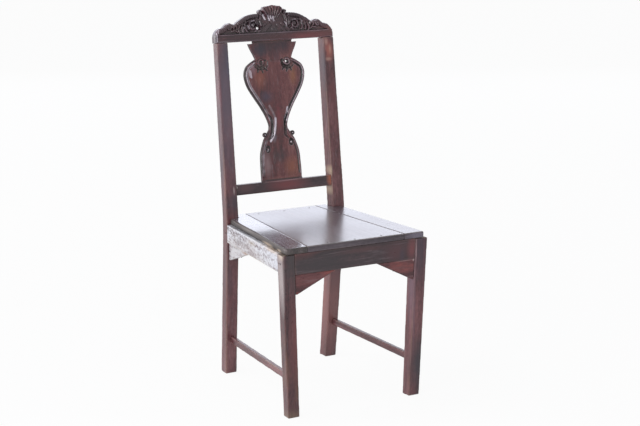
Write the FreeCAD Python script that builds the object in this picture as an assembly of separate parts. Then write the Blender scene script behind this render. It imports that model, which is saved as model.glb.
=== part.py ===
import FreeCAD, Part
import math
import os

os.makedirs("parts", exist_ok=True)

# Side chair with a carved crest rail, a vase-shaped splat and a board seat.
# Millimetres. X is across the chair, with +X on the right for someone who stands in front of it.
# Y runs from the front of the seat to the back, Z is up and the feet stand on Z = 0.
# While it is built, Y = 0 is the front face of the front legs. At the end everything is moved
# so that the origin is the middle of the footprint. Left and right are as seen from the front.

# Heights
seat_height = 449.0          # top of the seat boards
stile_height = 919.0         # joint of the stiles with the crest rail, on their front faces

# Plan of the seat frame, at its top
front_width = 435.0          # over the outer faces of the front legs
rear_width = 371.0           # over the outer faces of the rear posts
frame_depth = 373.0          # front face of the front legs to front face of the rear posts

# Front legs
front_leg_width_top = 36.0
front_leg_width_foot = 33.0
front_leg_depth_top = 33.0
front_leg_depth_foot = 30.0
front_leg_lean = 18.0        # how far each foot stands inside the top
leg_top_drop = 2.0           # the leg tops stop this far under the seat boards

# Rear posts, each one piece from the floor to the crest rail
post_width_seat = 37.0
post_width_foot = 34.0
post_width_top = 33.0
post_depth_seat = 31.0
post_depth_foot = 34.0
post_depth_top = 30.0
post_foot_lean = 8.0         # sideways, inwards, from the seat to the floor
stile_lean = 5.0             # sideways, inwards, from the seat to the crest rail
leg_rake = 32.0              # backwards, from the seat to the floor
stile_rake = 62.0            # backwards, from the seat to the crest rail
knee_length = 90.0           # height over which the two rakes blend

edge_ease = 1.2              # flat planed on the long corners of the posts and legs

# Seat frame
front_rail_height = 55.0
front_rail_thickness = 22.0
front_rail_inset = 0.4       # behind the front faces of the legs
rear_rail_height = 50.0
rear_rail_thickness = 20.0
rear_rail_inset = 5.0        # behind the front faces of the posts
side_rail_height = 50.0
side_rail_thickness = 21.0

# Mortise and tenon joints
tenon_thickness = 9.0
tenon_shoulder = 6.0         # cut off the tenon at its top and bottom edge
tenon_outer_wall = 9.0       # wood left outside the tenon of a side rail
tenon_length_front = 24.0    # side rail into the front leg
tenon_length_rear = 17.0     # side rail into the rear post
tenon_gap_wall = 2.0         # wood left between two tenons that meet in one post
joint_clearance = 0.2

# Side stretchers. They are not quite alike, as on the photographed chair.
stretcher_height = 18.0
stretcher_thickness = 12.0
stretcher_tenon_length = 14.0
stretcher_tenon_thickness = 7.0
stretcher_tenon_shoulder = 3.0
left_stretcher_rear_bottom = 91.0
left_stretcher_front_bottom = 101.0
left_stretcher_rear_inset = 13.0     # from the outer face of the post
left_stretcher_front_inset = 3.0     # from the outer face of the leg
right_stretcher_rear_bottom = 96.0
right_stretcher_front_bottom = 97.0
right_stretcher_rear_inset = 9.0
right_stretcher_front_inset = 21.0

# Seat: two narrow side boards and a wide one between them
board_thickness = 16.0
seat_side_inset = 10.5       # inside the outer faces of legs and posts
seat_front_overhang = 1.0
seat_rear_overhang = 8.0     # behind the back faces of the posts, between them only
seat_edge_round = 4.0
seat_corner_round = 6.0
side_board_width = 62.0
board_seam = 0.6             # open seam between two boards
notch_clearance = 0.5        # between a board and the post that it is cut around

# Brackets under the rails
front_bracket_thickness = 16.0
front_bracket_inset = 1.5    # behind the front face of the front rail
left_front_bracket_length = 118.0
left_front_bracket_height = 52.0
right_front_bracket_length = 113.0
right_front_bracket_height = 56.0
side_bracket_thickness = 13.0
side_bracket_inset = 6.5     # inside the outer face of the side rail
side_bracket_length = 132.0
side_bracket_height = 49.0
bracket_toe = 8.0            # flat at the bracket's lower end
bracket_tip = 2.5            # thickness left at the bracket's thin end

# Lower back rail, in the raked plane of the back
back_rail_bottom = 76.0      # above the seat frame, along the rake
back_rail_height = 29.0
back_rail_thickness = 25.0
back_rail_inset = 2.0        # behind the front faces of the stiles
back_rail_tenon_length = 15.0

# Splat
splat_half_width = 94.0
splat_thickness = 10.0
splat_base_inset = 12.0      # behind the front faces of the stiles, at the lower back rail
splat_top_inset = 21.0       # and at the crest rail
splat_tongue = 9.0           # depth of the tongues in the crest rail and in the lower back rail
splat_top_tongue_half_width = 61.0
splat_base_tongue_half_width = 54.0
splat_eye_diameter = 6.0     # one round hole, on the right only
splat_border_width = 5.0     # raised border along the edge of the vase
splat_border_height = 1.2
splat_curl_diameter = 13.0

# Crest rail
crest_overhang = 0.5         # each end stands this far past the stile's outer side
crest_height = 96.2
crest_front_inset = 2.0      # front of the plain lower band, behind the stiles' front faces
crest_back_inset = 28.0
crest_ground_depth = 3.0     # the carved part's ground starts this far behind the band
crest_top_front_inset = 18.0 # and slopes back to this at the top
crest_band_height = 21.0
crest_tenon_width = 19.0
crest_tenon_thickness = 9.0
crest_tenon_height = 24.0
crest_tenon_inset = 9.0
shell_flutes = 7
shell_flute_width = 6.0
shell_flute_depth = 1.6
shell_margin = 4.0
crest_hole_diameter = 6.0    # one round hole through the carving, on the left only

# Pegs and nails
peg_diameter = 4.5
peg_spacing = 9.0            # two pegs side by side in each joint of a side rail
peg_length = 19.0
crest_peg_diameter = 6.0
crest_peg_length = 17.0
nail_diameter = 2.6
nail_head_diameter = 3.6
nail_head_height = 1.6
nail_sink = 0.5              # heads are punched this far below the surface
seat_nail_length = 36.0
bracket_nail_length = 30.0
nail_clearance = 0.1

cut_overrun = 2.0            # cutting tools reach this far past what they cut

# Outline of half the splat: share of its height above the lower back rail,
# and share of the half width at its widest place.
splat_base_shares = [(0.0, 0.672), (0.10, 0.668), (0.19, 0.650), (0.25, 0.585), (0.295, 0.515)]
splat_curl_centre_share = (0.331, 0.455)
splat_vase_shares = [(0.366, 0.318), (0.40, 0.310), (0.46, 0.395), (0.53, 0.548), (0.60, 0.735),
                     (0.68, 0.925), (0.757, 1.0), (0.815, 0.935), (0.848, 0.775), (0.871, 0.600)]
splat_ear_shares = [(0.871, 0.600), (0.905, 0.660), (0.945, 0.745), (0.982, 0.805)]
splat_eye_share = (0.846, 0.415)

# Outline of half the crest rail in stretches between its sharp places: share of the
# half length from the middle, and share of the height above the stiles' joint.
crest_corner_shares = [(1.0, 0.147), (0.988, 0.245), (0.965, 0.319), (0.923, 0.388), (0.841, 0.431)]
crest_small_scroll_shares = [(0.841, 0.431), (0.800, 0.501), (0.745, 0.543), (0.700, 0.516), (0.660, 0.478)]
crest_scroll_shares = [(0.660, 0.478), (0.625, 0.526), (0.570, 0.601), (0.468, 0.704), (0.390, 0.750),
                       (0.300, 0.768), (0.225, 0.768)]
crest_curl_shares = [(0.225, 0.768), (0.236, 0.823), (0.205, 0.877), (0.172, 0.853)]
crest_shell_shares = [(0.172, 0.853), (0.143, 0.948), (0.090, 0.966), (0.0, 1.0)]
shell_foot_share = 0.36      # height of the point from which the shell's flutes spread
crest_hole_share = (-0.243, 0.36)

# Places of nails and of the seat's fixings
front_nail_shares = (-0.72, 0.0, 0.72)
side_nail_shares = (0.2, 0.5, 0.8)
bracket_nail_share = 0.45
peg_place_share = 0.55
half_share = 0.5

# Worked out from the sizes above
frame_top = seat_height - board_thickness
leg_top = frame_top - leg_top_drop
rake_run = stile_height - frame_top
back_angle = math.atan2(stile_rake, rake_run)
joint_height = rake_run / math.cos(back_angle)
side_rail_bottom = frame_top - side_rail_height
front_rail_bottom = frame_top - front_rail_height
rear_rail_bottom = frame_top - rear_rail_height
back_rail_top = back_rail_bottom + back_rail_height
splat_height = joint_height - back_rail_top
seat_skew = (front_width - rear_width) / 2 / frame_depth

X_AXIS = FreeCAD.Vector(1, 0, 0)
Y_AXIS = FreeCAD.Vector(0, 1, 0)
Z_AXIS = FreeCAD.Vector(0, 0, 1)
ORIGIN = FreeCAD.Vector(0, 0, 0)


def point(x, y, z):
    return FreeCAD.Vector(x, y, z)


def blend(start, end, share):
    """The value that lies the given share of the way from start to end."""
    return start + (end - start) * share


def closed_wire(points):
    return Part.makePolygon(points + [points[0]])


def loft(sections):
    """A solid with straight runs between polygons that have as many corners each."""
    solid = Part.makeLoft([closed_wire(section) for section in sections], True, True)
    if solid.Volume < 0:
        solid.reverse()
    return solid


def prism(points, direction):
    solid = Part.Face(closed_wire(points)).extrude(direction)
    if solid.Volume < 0:
        solid.reverse()
    return solid


def box(x_range, y_range, z_range):
    size = [high - low for low, high in (x_range, y_range, z_range)]
    return Part.makeBox(size[0], size[1], size[2], point(x_range[0], y_range[0], z_range[0]))


def mirrored(shape):
    return shape.mirror(ORIGIN, X_AXIS)


# The outer side of the chair, right-hand half. Legs, side rails and posts share it.

def front_half_width(z):
    return front_width / 2 - front_leg_lean * (frame_top - z) / frame_top


def rear_half_width(z):
    if z < frame_top:
        return rear_width / 2 - post_foot_lean * (frame_top - z) / frame_top
    return rear_width / 2 - stile_lean * (z - frame_top) / rake_run


def post_front(z):
    """Y of the front face of the rear posts: two straight rakes with a smooth knee between them."""
    reach = knee_length / 2
    below = leg_rake / frame_top
    above = stile_rake / rake_run
    from_knee = z - frame_top
    if from_knee < -reach:
        return frame_depth - below * from_knee
    if from_knee > reach:
        return frame_depth + above * from_knee
    sag = (above + below) * (from_knee + reach) ** 2 / (4 * reach)
    return frame_depth - below * from_knee + sag


def outer_x(y, z):
    """X of the outer side at a place: it runs straight from the front leg to the rear post."""
    share = y / post_front(z)
    return blend(front_half_width(z), rear_half_width(z), share)


def skew(z):
    if z > frame_top:
        return seat_skew
    return (front_half_width(z) - rear_half_width(z)) / post_front(z)


def upright_section(front_y, half_width, width, depth, z, ease):
    """A post's section: a parallelogram whose sides follow the seat, with eased corners."""
    shift = skew(z) * depth
    corners = [
        point(half_width, front_y, z),
        point(half_width - shift, front_y + depth, z),
        point(half_width - shift - width, front_y + depth, z),
        point(half_width - width, front_y, z),
    ]
    if ease == 0:
        return corners
    eased = []
    for index, corner in enumerate(corners):
        for neighbour in (corners[index - 1], corners[(index + 1) % len(corners)]):
            along = (neighbour - corner).normalize()
            eased.append(corner + along * ease)
    return eased


def front_leg_blank(ease):
    foot = upright_section(0, front_half_width(0), front_leg_width_foot, front_leg_depth_foot, 0, ease)
    head = upright_section(0, front_half_width(leg_top), front_leg_width_top, front_leg_depth_top,
                           leg_top, ease)
    return loft([foot, head])


def front_leg_envelope(outward):
    """The leg carried on past its top and outwards, to fit other pieces against it."""
    high = frame_top + cut_overrun
    share = high / leg_top
    foot = upright_section(0, front_half_width(0) + outward, front_leg_width_foot + outward,
                           front_leg_depth_foot, 0, 0)
    head = upright_section(0, front_half_width(high) + outward,
                           blend(front_leg_width_foot, front_leg_width_top, share) + outward,
                           blend(front_leg_depth_foot, front_leg_depth_top, share), high, 0)
    return loft([foot, head])


def post_size(z):
    """Width and depth of a rear post at a height."""
    if z < frame_top:
        share = z / frame_top
        return blend(post_width_foot, post_width_seat, share), blend(post_depth_foot, post_depth_seat, share)
    share = (z - frame_top) / rake_run
    return blend(post_width_seat, post_width_top, share), blend(post_depth_seat, post_depth_top, share)


def post_levels():
    knee_steps = [frame_top + knee_length * share / 4 for share in range(-2, 3)]
    return [0] + knee_steps + [stile_height + post_depth_top]


def post_blank(ease, outward=0):
    sections = []
    for z in post_levels():
        width, depth = post_size(z)
        sections.append(upright_section(post_front(z), rear_half_width(z) + outward, width + outward,
                                        depth, z, ease))
    return loft(sections)


# The back is built upright, with Y = 0 on the stiles' front faces and Z = 0 at the top of the
# seat frame, and is then leaned back.

def lean_back(shape):
    shape.rotate(ORIGIN, X_AXIS, -math.degrees(back_angle))
    shape.translate(point(0, frame_depth, frame_top))
    return shape


def stile_outer(height):
    """Half the width over the stiles at a height in the plane of the back."""
    return rear_half_width(frame_top + height * math.cos(back_angle))


def side_board(outer_inset_front, outer_inset_rear, thickness, bottom_front, bottom_rear, height, y_range):
    """A board along the right side, measured in from the outer side, from front to rear."""
    sections = []
    for y in y_range:
        share = y / frame_depth
        inset = blend(outer_inset_front, outer_inset_rear, share)
        low = blend(bottom_front, bottom_rear, share)
        corners = []
        for depth, z in ((inset, low), (inset, low + height), (inset + thickness, low + height),
                         (inset + thickness, low)):
            corners.append(point(outer_x(y, z) - depth, y, z))
        sections.append(corners)
    return loft(sections)


def nail(start, direction, length, clearance=0.0, overrun=0.0):
    """A nail with a small round head, or with a clearance the hole that it fits."""
    head_radius = nail_head_diameter / 2 + clearance
    shank_radius = nail_diameter / 2 + clearance
    head = Part.makeCylinder(head_radius, nail_head_height + overrun + clearance, start - direction * overrun,
                             direction)
    shank = Part.makeCylinder(shank_radius, length + clearance, start, direction)
    return head.fuse(shank).removeSplitter()


# Seat frame, right-hand half

leg_hull = front_leg_envelope(cut_overrun)
post_hull = post_blank(0, cut_overrun)

leg_back_at_rail = front_leg_depth_top
side_rail_middle = frame_top - side_rail_height / 2


def side_rail_blank():
    return side_board(0, 0, side_rail_thickness, side_rail_bottom, side_rail_bottom, side_rail_height,
                      (leg_back_at_rail / 2, frame_depth + post_depth_seat / 2))


def side_tenon(clearance):
    """The tenons of a side rail, both ends in one bar, or with a clearance their mortises."""
    y_front = leg_back_at_rail - tenon_length_front - clearance
    y_rear = frame_depth + tenon_length_rear + clearance
    inset = tenon_outer_wall - clearance
    bottom = side_rail_bottom + tenon_shoulder - clearance
    height = side_rail_height - 2 * tenon_shoulder + 2 * clearance
    return side_board(inset, inset, tenon_thickness + 2 * clearance, bottom, bottom, height,
                      (y_front, y_rear))


def cross_tenon_end_front():
    """How far the front rail's tenons reach, so that they miss those of the side rails."""
    return outer_x(leg_back_at_rail, front_rail_bottom) - tenon_outer_wall - tenon_thickness - tenon_gap_wall


def cross_tenon_end_rear():
    y = frame_depth + tenon_length_rear
    return outer_x(y, rear_rail_bottom) - tenon_outer_wall - tenon_thickness - tenon_gap_wall


def front_tenon(clearance):
    reach = cross_tenon_end_front() + clearance
    y_low = front_rail_inset + (front_rail_thickness - tenon_thickness) / 2 - clearance
    return box((-reach, reach), (y_low, y_low + tenon_thickness + 2 * clearance),
               (front_rail_bottom + tenon_shoulder - clearance, frame_top - tenon_shoulder + clearance))


def rear_rail_front():
    return post_front(rear_rail_bottom) + rear_rail_inset


def rear_tenon(clearance):
    reach = cross_tenon_end_rear() + clearance
    y_low = rear_rail_front() + (rear_rail_thickness - tenon_thickness) / 2 - clearance
    return box((-reach, reach), (y_low, y_low + tenon_thickness + 2 * clearance),
               (rear_rail_bottom + tenon_shoulder - clearance, frame_top - tenon_shoulder + clearance))


def both_sides(shape):
    return [shape, mirrored(shape)]


def cut_all(shape, tools):
    for tool in tools:
        shape = shape.cut(tool)
    return shape


def cross_rail(blank, hull, tenon):
    """A rail from side to side: shoulders fitted to the legs or posts, and a tenon at each end."""
    return cut_all(blank, both_sides(hull)).fuse(tenon).removeSplitter()


# Side rails

side_rail = cut_all(side_rail_blank(), [leg_hull, post_hull])
side_rail = side_rail.fuse(side_tenon(0)).removeSplitter()

# Front and rear rails

front_reach = front_width / 2 - front_leg_width_top / 2
front_rail = cross_rail(
    box((-front_reach, front_reach), (front_rail_inset, front_rail_inset + front_rail_thickness),
        (front_rail_bottom, frame_top)), leg_hull, front_tenon(0))

rear_reach = rear_width / 2 - post_width_seat / 2
rear_rail = cross_rail(
    box((-rear_reach, rear_reach), (rear_rail_front(), rear_rail_front() + rear_rail_thickness),
        (rear_rail_bottom, frame_top)), post_hull, rear_tenon(0))


# Stretchers, built on the right-hand side and mirrored for the left

def stretcher(front_inset, rear_inset, front_bottom, rear_bottom):
    return cut_all(
        side_board(front_inset, rear_inset, stretcher_thickness, front_bottom, rear_bottom, stretcher_height,
                   (front_leg_depth_foot / 2, frame_depth + leg_rake)), [leg_hull, post_hull])


def stretcher_tenons(front_inset, rear_inset, front_bottom, rear_bottom, clearance):
    side_gap = (stretcher_thickness - stretcher_tenon_thickness) / 2 - clearance
    front_z = front_bottom + stretcher_tenon_shoulder - clearance
    rear_z = rear_bottom + stretcher_tenon_shoulder - clearance
    height = stretcher_height - 2 * stretcher_tenon_shoulder + 2 * clearance
    leg_share = (front_bottom + stretcher_height / 2) / leg_top
    leg_back = blend(front_leg_depth_foot, front_leg_depth_top, leg_share)
    y_front = leg_back - stretcher_tenon_length - clearance
    y_rear = post_front(rear_bottom + stretcher_height / 2) + stretcher_tenon_length + clearance
    return side_board(front_inset + side_gap, rear_inset + side_gap,
                      stretcher_tenon_thickness + 2 * clearance, front_z, rear_z, height, (y_front, y_rear))


stretcher_sizes = {
    "left": (left_stretcher_front_inset, left_stretcher_rear_inset, left_stretcher_front_bottom,
             left_stretcher_rear_bottom),
    "right": (right_stretcher_front_inset, right_stretcher_rear_inset, right_stretcher_front_bottom,
              right_stretcher_rear_bottom),
}

stretchers = {}
stretcher_mortises = {}
for side, sizes in stretcher_sizes.items():
    stretchers[side] = stretcher(*sizes).fuse(stretcher_tenons(*sizes, 0)).removeSplitter()
    stretcher_mortises[side] = stretcher_tenons(*sizes, joint_clearance)


# Brackets under the rails

def front_bracket(length, height):
    """A straight-edged bracket in the corner of the front rail and the right-hand leg."""
    leg_width = blend(front_leg_width_foot, front_leg_width_top, front_rail_bottom / leg_top)
    inner_x = front_half_width(front_rail_bottom) - leg_width
    corner_x = inner_x + leg_width / 2
    y_front = front_rail_inset + front_bracket_inset
    outline = [
        point(corner_x, y_front, front_rail_bottom),
        point(corner_x, y_front, front_rail_bottom - height),
        point(inner_x - bracket_toe, y_front, front_rail_bottom - height),
        point(inner_x - length, y_front, front_rail_bottom - bracket_tip),
        point(inner_x - length, y_front, front_rail_bottom),
    ]
    return prism(outline, Y_AXIS * front_bracket_thickness).cut(leg_hull)


def side_bracket():
    """The bracket in the corner of a side rail and a rear post."""
    bottom = side_rail_bottom - side_bracket_height
    post_y = post_front(bottom)
    tip_y = frame_depth - side_bracket_length
    slab = side_board(side_bracket_inset, side_bracket_inset, side_bracket_thickness, bottom, bottom,
                      side_bracket_height, (tip_y, post_y + post_depth_seat / 2))
    past = rear_width
    waste = prism([
        point(0, tip_y - cut_overrun, bottom - cut_overrun),
        point(0, tip_y - cut_overrun, side_rail_bottom - bracket_tip),
        point(0, tip_y, side_rail_bottom - bracket_tip),
        point(0, post_y - bracket_toe, bottom),
        point(0, post_y - bracket_toe, bottom - cut_overrun),
    ], X_AXIS * past)
    return cut_all(slab, [waste, post_hull])


front_brackets = {
    "left": mirrored(front_bracket(left_front_bracket_length, left_front_bracket_height)),
    "right": front_bracket(right_front_bracket_length, right_front_bracket_height),
}
side_bracket_solid = side_bracket()


# Lower back rail

def back_bar(reach, y_low, y_high, z_low, z_high):
    return lean_back(box((-reach, reach), (y_low, y_high), (z_low, z_high)))


back_rail_reach = stile_outer(back_rail_bottom) - post_width_seat / 2
back_tenon_reach = stile_outer(back_rail_bottom) - post_width_seat + back_rail_tenon_length


def back_rail_tenon(clearance):
    y_low = back_rail_inset + (back_rail_thickness - tenon_thickness) / 2 - clearance
    return back_bar(back_tenon_reach + clearance, y_low, y_low + tenon_thickness + 2 * clearance,
                    back_rail_bottom + tenon_shoulder - clearance, back_rail_top - tenon_shoulder + clearance)


back_rail = cross_rail(
    back_bar(back_rail_reach, back_rail_inset, back_rail_inset + back_rail_thickness, back_rail_bottom,
             back_rail_top), post_hull, back_rail_tenon(0))


# Splat. It stands in its own slightly steeper plane between the two rails.

splat_tilt = math.degrees(math.atan2(splat_top_inset - splat_base_inset, splat_height))


splat_lift = splat_thickness * math.sin(math.radians(splat_tilt))


def place_splat(shape):
    """From its own plane, with Y = 0 on its front and Z = 0 on the lower back rail, to the chair."""
    shape.rotate(ORIGIN, X_AXIS, -splat_tilt)
    shape.translate(point(0, splat_base_inset, back_rail_top + splat_lift))
    return lean_back(shape)


def splat_point(shares):
    return point(shares[1] * splat_half_width, 0, shares[0] * splat_height)


def smooth_edge(points):
    """A smooth curve through the points, or a straight edge through two."""
    if len(points) == 2:
        return Part.LineSegment(points[0], points[1]).toShape()
    curve = Part.BSplineCurve()
    curve.interpolate(points)
    return curve.toShape()


def mirrored_outline(stretches):
    """A closed face from the right half's stretches, given from the middle bottom to the middle top."""
    edges = [smooth_edge(stretch) for stretch in stretches]
    for stretch in reversed(stretches):
        flipped = [point(-p.x, p.y, p.z) for p in reversed(stretch)]
        edges.append(smooth_edge(flipped))
    return Part.Face(Part.Wire(edges))


def splat_stretches():
    base = [splat_point(shares) for shares in splat_base_shares]
    vase = [splat_point(shares) for shares in splat_vase_shares]
    ear = [splat_point(shares) for shares in splat_ear_shares]
    middle_bottom = point(0, 0, 0)
    tongue_x = splat_top_tongue_half_width
    tongue_foot = point(tongue_x, 0, ear[-1].z)
    tongue_top = point(tongue_x, 0, splat_height)
    middle_top = point(0, 0, splat_height)
    return [[middle_bottom, base[0]], base, [base[-1], vase[0]], vase, ear, [ear[-1], tongue_foot],
            [tongue_foot, tongue_top], [tongue_top, middle_top]]


def splat_tongue_bar(half_width, z_low, z_high, clearance):
    return box((-half_width - clearance, half_width + clearance), (-clearance, splat_thickness + clearance),
               (z_low - clearance, z_high + clearance))


def splat_blank():
    panel = mirrored_outline(splat_stretches()).extrude(Y_AXIS * splat_thickness)
    curl_centre = splat_point(splat_curl_centre_share)
    eye_centre = splat_point(splat_eye_share)
    curl = Part.makeCylinder(splat_curl_diameter / 2, splat_thickness, curl_centre, Y_AXIS)
    eye = Part.makeCylinder(splat_eye_diameter / 2, splat_thickness + 2 * cut_overrun,
                            eye_centre - Y_AXIS * cut_overrun, Y_AXIS)
    panel = panel.fuse(both_sides(curl)).cut(eye)
    top = splat_tongue_bar(splat_top_tongue_half_width, splat_height, splat_height + splat_tongue, 0)
    base = splat_tongue_bar(splat_base_tongue_half_width, -splat_tongue, 0, 0)
    return panel.fuse([top, base]).removeSplitter()


def splat_field():
    """The sunk field inside the vase's border, cut a little way into the front."""
    vase_points = [splat_point(shares) for shares in splat_vase_shares]
    inner = [point(p.x - splat_border_width, p.y - cut_overrun, p.z) for p in vase_points[1:-1]]
    middle_foot = point(0, -cut_overrun, inner[0].z)
    middle_top = point(0, -cut_overrun, inner[-1].z)
    stretches = [[middle_foot, inner[0]], inner, [inner[-1], middle_top]]
    return mirrored_outline(stretches).extrude(Y_AXIS * (cut_overrun + splat_border_height))


splat = place_splat(splat_blank().cut(splat_field()))
top_groove = place_splat(splat_tongue_bar(splat_top_tongue_half_width, splat_height - cut_overrun,
                                          splat_height + splat_tongue, joint_clearance))
base_groove = place_splat(splat_tongue_bar(splat_base_tongue_half_width, -splat_tongue, cut_overrun,
                                           joint_clearance))
back_rail = back_rail.cut(base_groove)


# Crest rail

crest_half_length = rear_half_width(stile_height) + crest_overhang
carved_height = crest_height - crest_band_height
carved_slope = (crest_top_front_inset - crest_front_inset - crest_ground_depth) / carved_height


def crest_point(shares):
    return point(shares[0] * crest_half_length, 0, shares[1] * crest_height)


def crest_stretches():
    parts = [[crest_point(shares) for shares in table] for table in
             (crest_corner_shares, crest_small_scroll_shares, crest_scroll_shares, crest_curl_shares,
              crest_shell_shares)]
    end_foot = point(crest_half_length, 0, 0)
    return [[point(0, 0, 0), end_foot], [end_foot, parts[0][0]]] + parts


def ground_y(height):
    """How far the carved part's ground lies behind the band's front at a height."""
    return crest_ground_depth + carved_slope * (height - crest_band_height)


def shell_cuts():
    """Flutes that spread over the sloping ground, from the shell's foot to its rim."""
    foot = point(0, 0, shell_foot_share * crest_height)
    rim_half_width = crest_shell_shares[0][0] * crest_half_length
    rim_height = crest_height - foot.z
    spread = math.atan2(rim_half_width, rim_height)
    length = rim_height - shell_margin
    cuts = []
    for index in range(shell_flutes):
        turn = blend(-spread, spread, index / (shell_flutes - 1))
        direction = point(math.sin(turn), carved_slope * math.cos(turn), math.cos(turn))
        start = foot + direction * shell_margin
        start = start + Y_AXIS * (ground_y(foot.z) - shell_flute_width / 2 + shell_flute_depth)
        cuts.append(Part.makeCylinder(shell_flute_width / 2, length, start, direction))
    return cuts


def crest_blank():
    reach = crest_half_length + cut_overrun
    body = mirrored_outline(crest_stretches()).extrude(Y_AXIS * (crest_back_inset - crest_front_inset))
    above = crest_height + cut_overrun
    front_slope = prism([
        point(-reach, -cut_overrun, crest_band_height),
        point(-reach, crest_ground_depth, crest_band_height),
        point(-reach, ground_y(above), above),
        point(-reach, -cut_overrun, above),
    ], X_AXIS * 2 * reach)
    hole_start = crest_point(crest_hole_share) - Y_AXIS * cut_overrun
    hole = Part.makeCylinder(crest_hole_diameter / 2, crest_back_inset + 2 * cut_overrun, hole_start, Y_AXIS)
    return cut_all(body, [front_slope, hole] + shell_cuts())


def place_crest(shape):
    shape.translate(point(0, crest_front_inset, joint_height))
    return lean_back(shape)


def crest_tenon(clearance):
    """The tenon on top of the right-hand stile, or with a clearance its mortise."""
    middle_x = stile_outer(joint_height) - post_width_top / 2
    half = crest_tenon_width / 2 + clearance
    y_low = crest_tenon_inset - clearance
    return lean_back(box((middle_x - half, middle_x + half),
                         (y_low, y_low + crest_tenon_thickness + 2 * clearance),
                         (joint_height - cut_overrun, joint_height + crest_tenon_height + clearance)))


crest = place_crest(crest_blank())
crest = cut_all(crest, both_sides(crest_tenon(joint_clearance)) + [top_groove])


# Pegs

def side_rail_peg(y, clearance):
    """A peg through the outer side into the tenon of the right-hand side rail."""
    start = point(outer_x(y, side_rail_middle) + cut_overrun, y, side_rail_middle)
    length = peg_length + cut_overrun + clearance
    return Part.makeCylinder(peg_diameter / 2 + clearance, length, start, -X_AXIS)


def peg_pair(middle_y, clearance):
    return [side_rail_peg(middle_y + offset, clearance) for offset in (-peg_spacing / 2, peg_spacing / 2)]


front_pegs_y = leg_back_at_rail - tenon_length_front * peg_place_share
rear_pegs_y = frame_depth + tenon_length_rear * peg_place_share
side_pegs = [peg.common(front_leg_envelope(0)) for peg in peg_pair(front_pegs_y, 0)]
side_pegs += [peg.common(post_blank(0)) for peg in peg_pair(rear_pegs_y, 0)]
leg_peg_holes = peg_pair(front_pegs_y, nail_clearance)
post_peg_holes = peg_pair(rear_pegs_y, nail_clearance)
side_rail = cut_all(side_rail, leg_peg_holes + post_peg_holes)


def crest_peg(clearance):
    """A peg from the back of the crest rail into the tenon of the right-hand stile."""
    middle_x = stile_outer(joint_height) - post_width_top / 2
    start = point(middle_x, crest_back_inset, joint_height + crest_tenon_height / 2)
    radius = crest_peg_diameter / 2 + clearance
    return lean_back(Part.makeCylinder(radius, crest_peg_length + clearance, start, -Y_AXIS))


crest = cut_all(crest, both_sides(crest_peg(nail_clearance)))


# Legs and posts with their mortises

def finished_leg(side):
    leg = front_leg_blank(edge_ease)
    return cut_all(leg, [side_tenon(joint_clearance), front_tenon(joint_clearance), stretcher_mortises[side]]
                   + leg_peg_holes)


def finished_post(side):
    past = rear_width
    above = lean_back(box((0, past), (-past, past), (joint_height, joint_height + past)))
    post = post_blank(edge_ease).cut(above)
    post = cut_all(post, [side_tenon(joint_clearance), rear_tenon(joint_clearance),
                          back_rail_tenon(joint_clearance), stretcher_mortises[side]] + post_peg_holes)
    return post.fuse(crest_tenon(0)).removeSplitter().cut(crest_peg(nail_clearance))


legs = {side: finished_leg(side) for side in stretcher_sizes}
posts = {side: finished_post(side) for side in stretcher_sizes}


# Seat boards

def seat_outline():
    """Right half of the seat from above: front, side, notch for the post and rear edge."""
    front_y = -seat_front_overhang
    notch_y = post_front(frame_top) - notch_clearance
    width, depth = post_size(frame_top)
    notch_x = outer_x(notch_y, frame_top) - width - notch_clearance
    back_y = post_front(seat_height) + depth + seat_rear_overhang
    back_x = notch_x - skew(frame_top) * (back_y - notch_y)
    return [(outer_x(front_y, frame_top) - seat_side_inset, front_y),
            (outer_x(notch_y, frame_top) - seat_side_inset, notch_y),
            (notch_x, notch_y), (back_x, back_y)]


def whole_seat():
    half = seat_outline()
    corners = half + [(-x, y) for x, y in reversed(half)]
    slab = prism([point(x, y, frame_top) for x, y in corners], Z_AXIS * board_thickness)
    notch_y = half[1][1]
    upright_corners = [edge for edge in slab.Edges if edge.BoundBox.ZLength > 0 and edge.BoundBox.YMax < 0]
    slab = slab.makeFillet(seat_corner_round, upright_corners)
    top_edges = []
    for edge in slab.Edges:
        bounds = edge.BoundBox
        on_top = bounds.ZMin > frame_top + board_thickness * half_share
        if on_top and (bounds.YMin + bounds.YMax) / 2 < notch_y - notch_clearance:
            top_edges.append(edge)
    return slab.makeFillet(seat_edge_round, top_edges)


def seam_cutter():
    """The open seam beside the right-hand side board, and all that lies outside it."""
    outline = seat_outline()
    front_x, front_y = outline[0]
    side_x, side_y = outline[1]
    lean = (side_x - front_x) / (side_y - front_y)
    low_y = front_y - cut_overrun
    high_y = outline[3][1] + cut_overrun
    past = front_width

    def strip(offset, width):
        base = [front_x + offset + lean * (y - front_y) for y in (low_y, high_y)]
        corners = [(base[0], low_y), (base[0] + width, low_y), (base[1] + width, high_y), (base[1], high_y)]
        return prism([point(x, y, frame_top - cut_overrun) for x, y in corners],
                     Z_AXIS * (board_thickness + 2 * cut_overrun))

    return strip(-side_board_width, past), strip(-side_board_width - board_seam, past)


outer_region, outer_region_with_seam = seam_cutter()
seat_slab = whole_seat()
side_board_solid = seat_slab.common(outer_region)
centre_board = cut_all(seat_slab, both_sides(outer_region_with_seam))


# Nails

def seat_nail(x, y, clearance=0.0, overrun=0.0):
    return nail(point(x, y, seat_height - nail_sink), -Z_AXIS, seat_nail_length, clearance, overrun)


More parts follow.
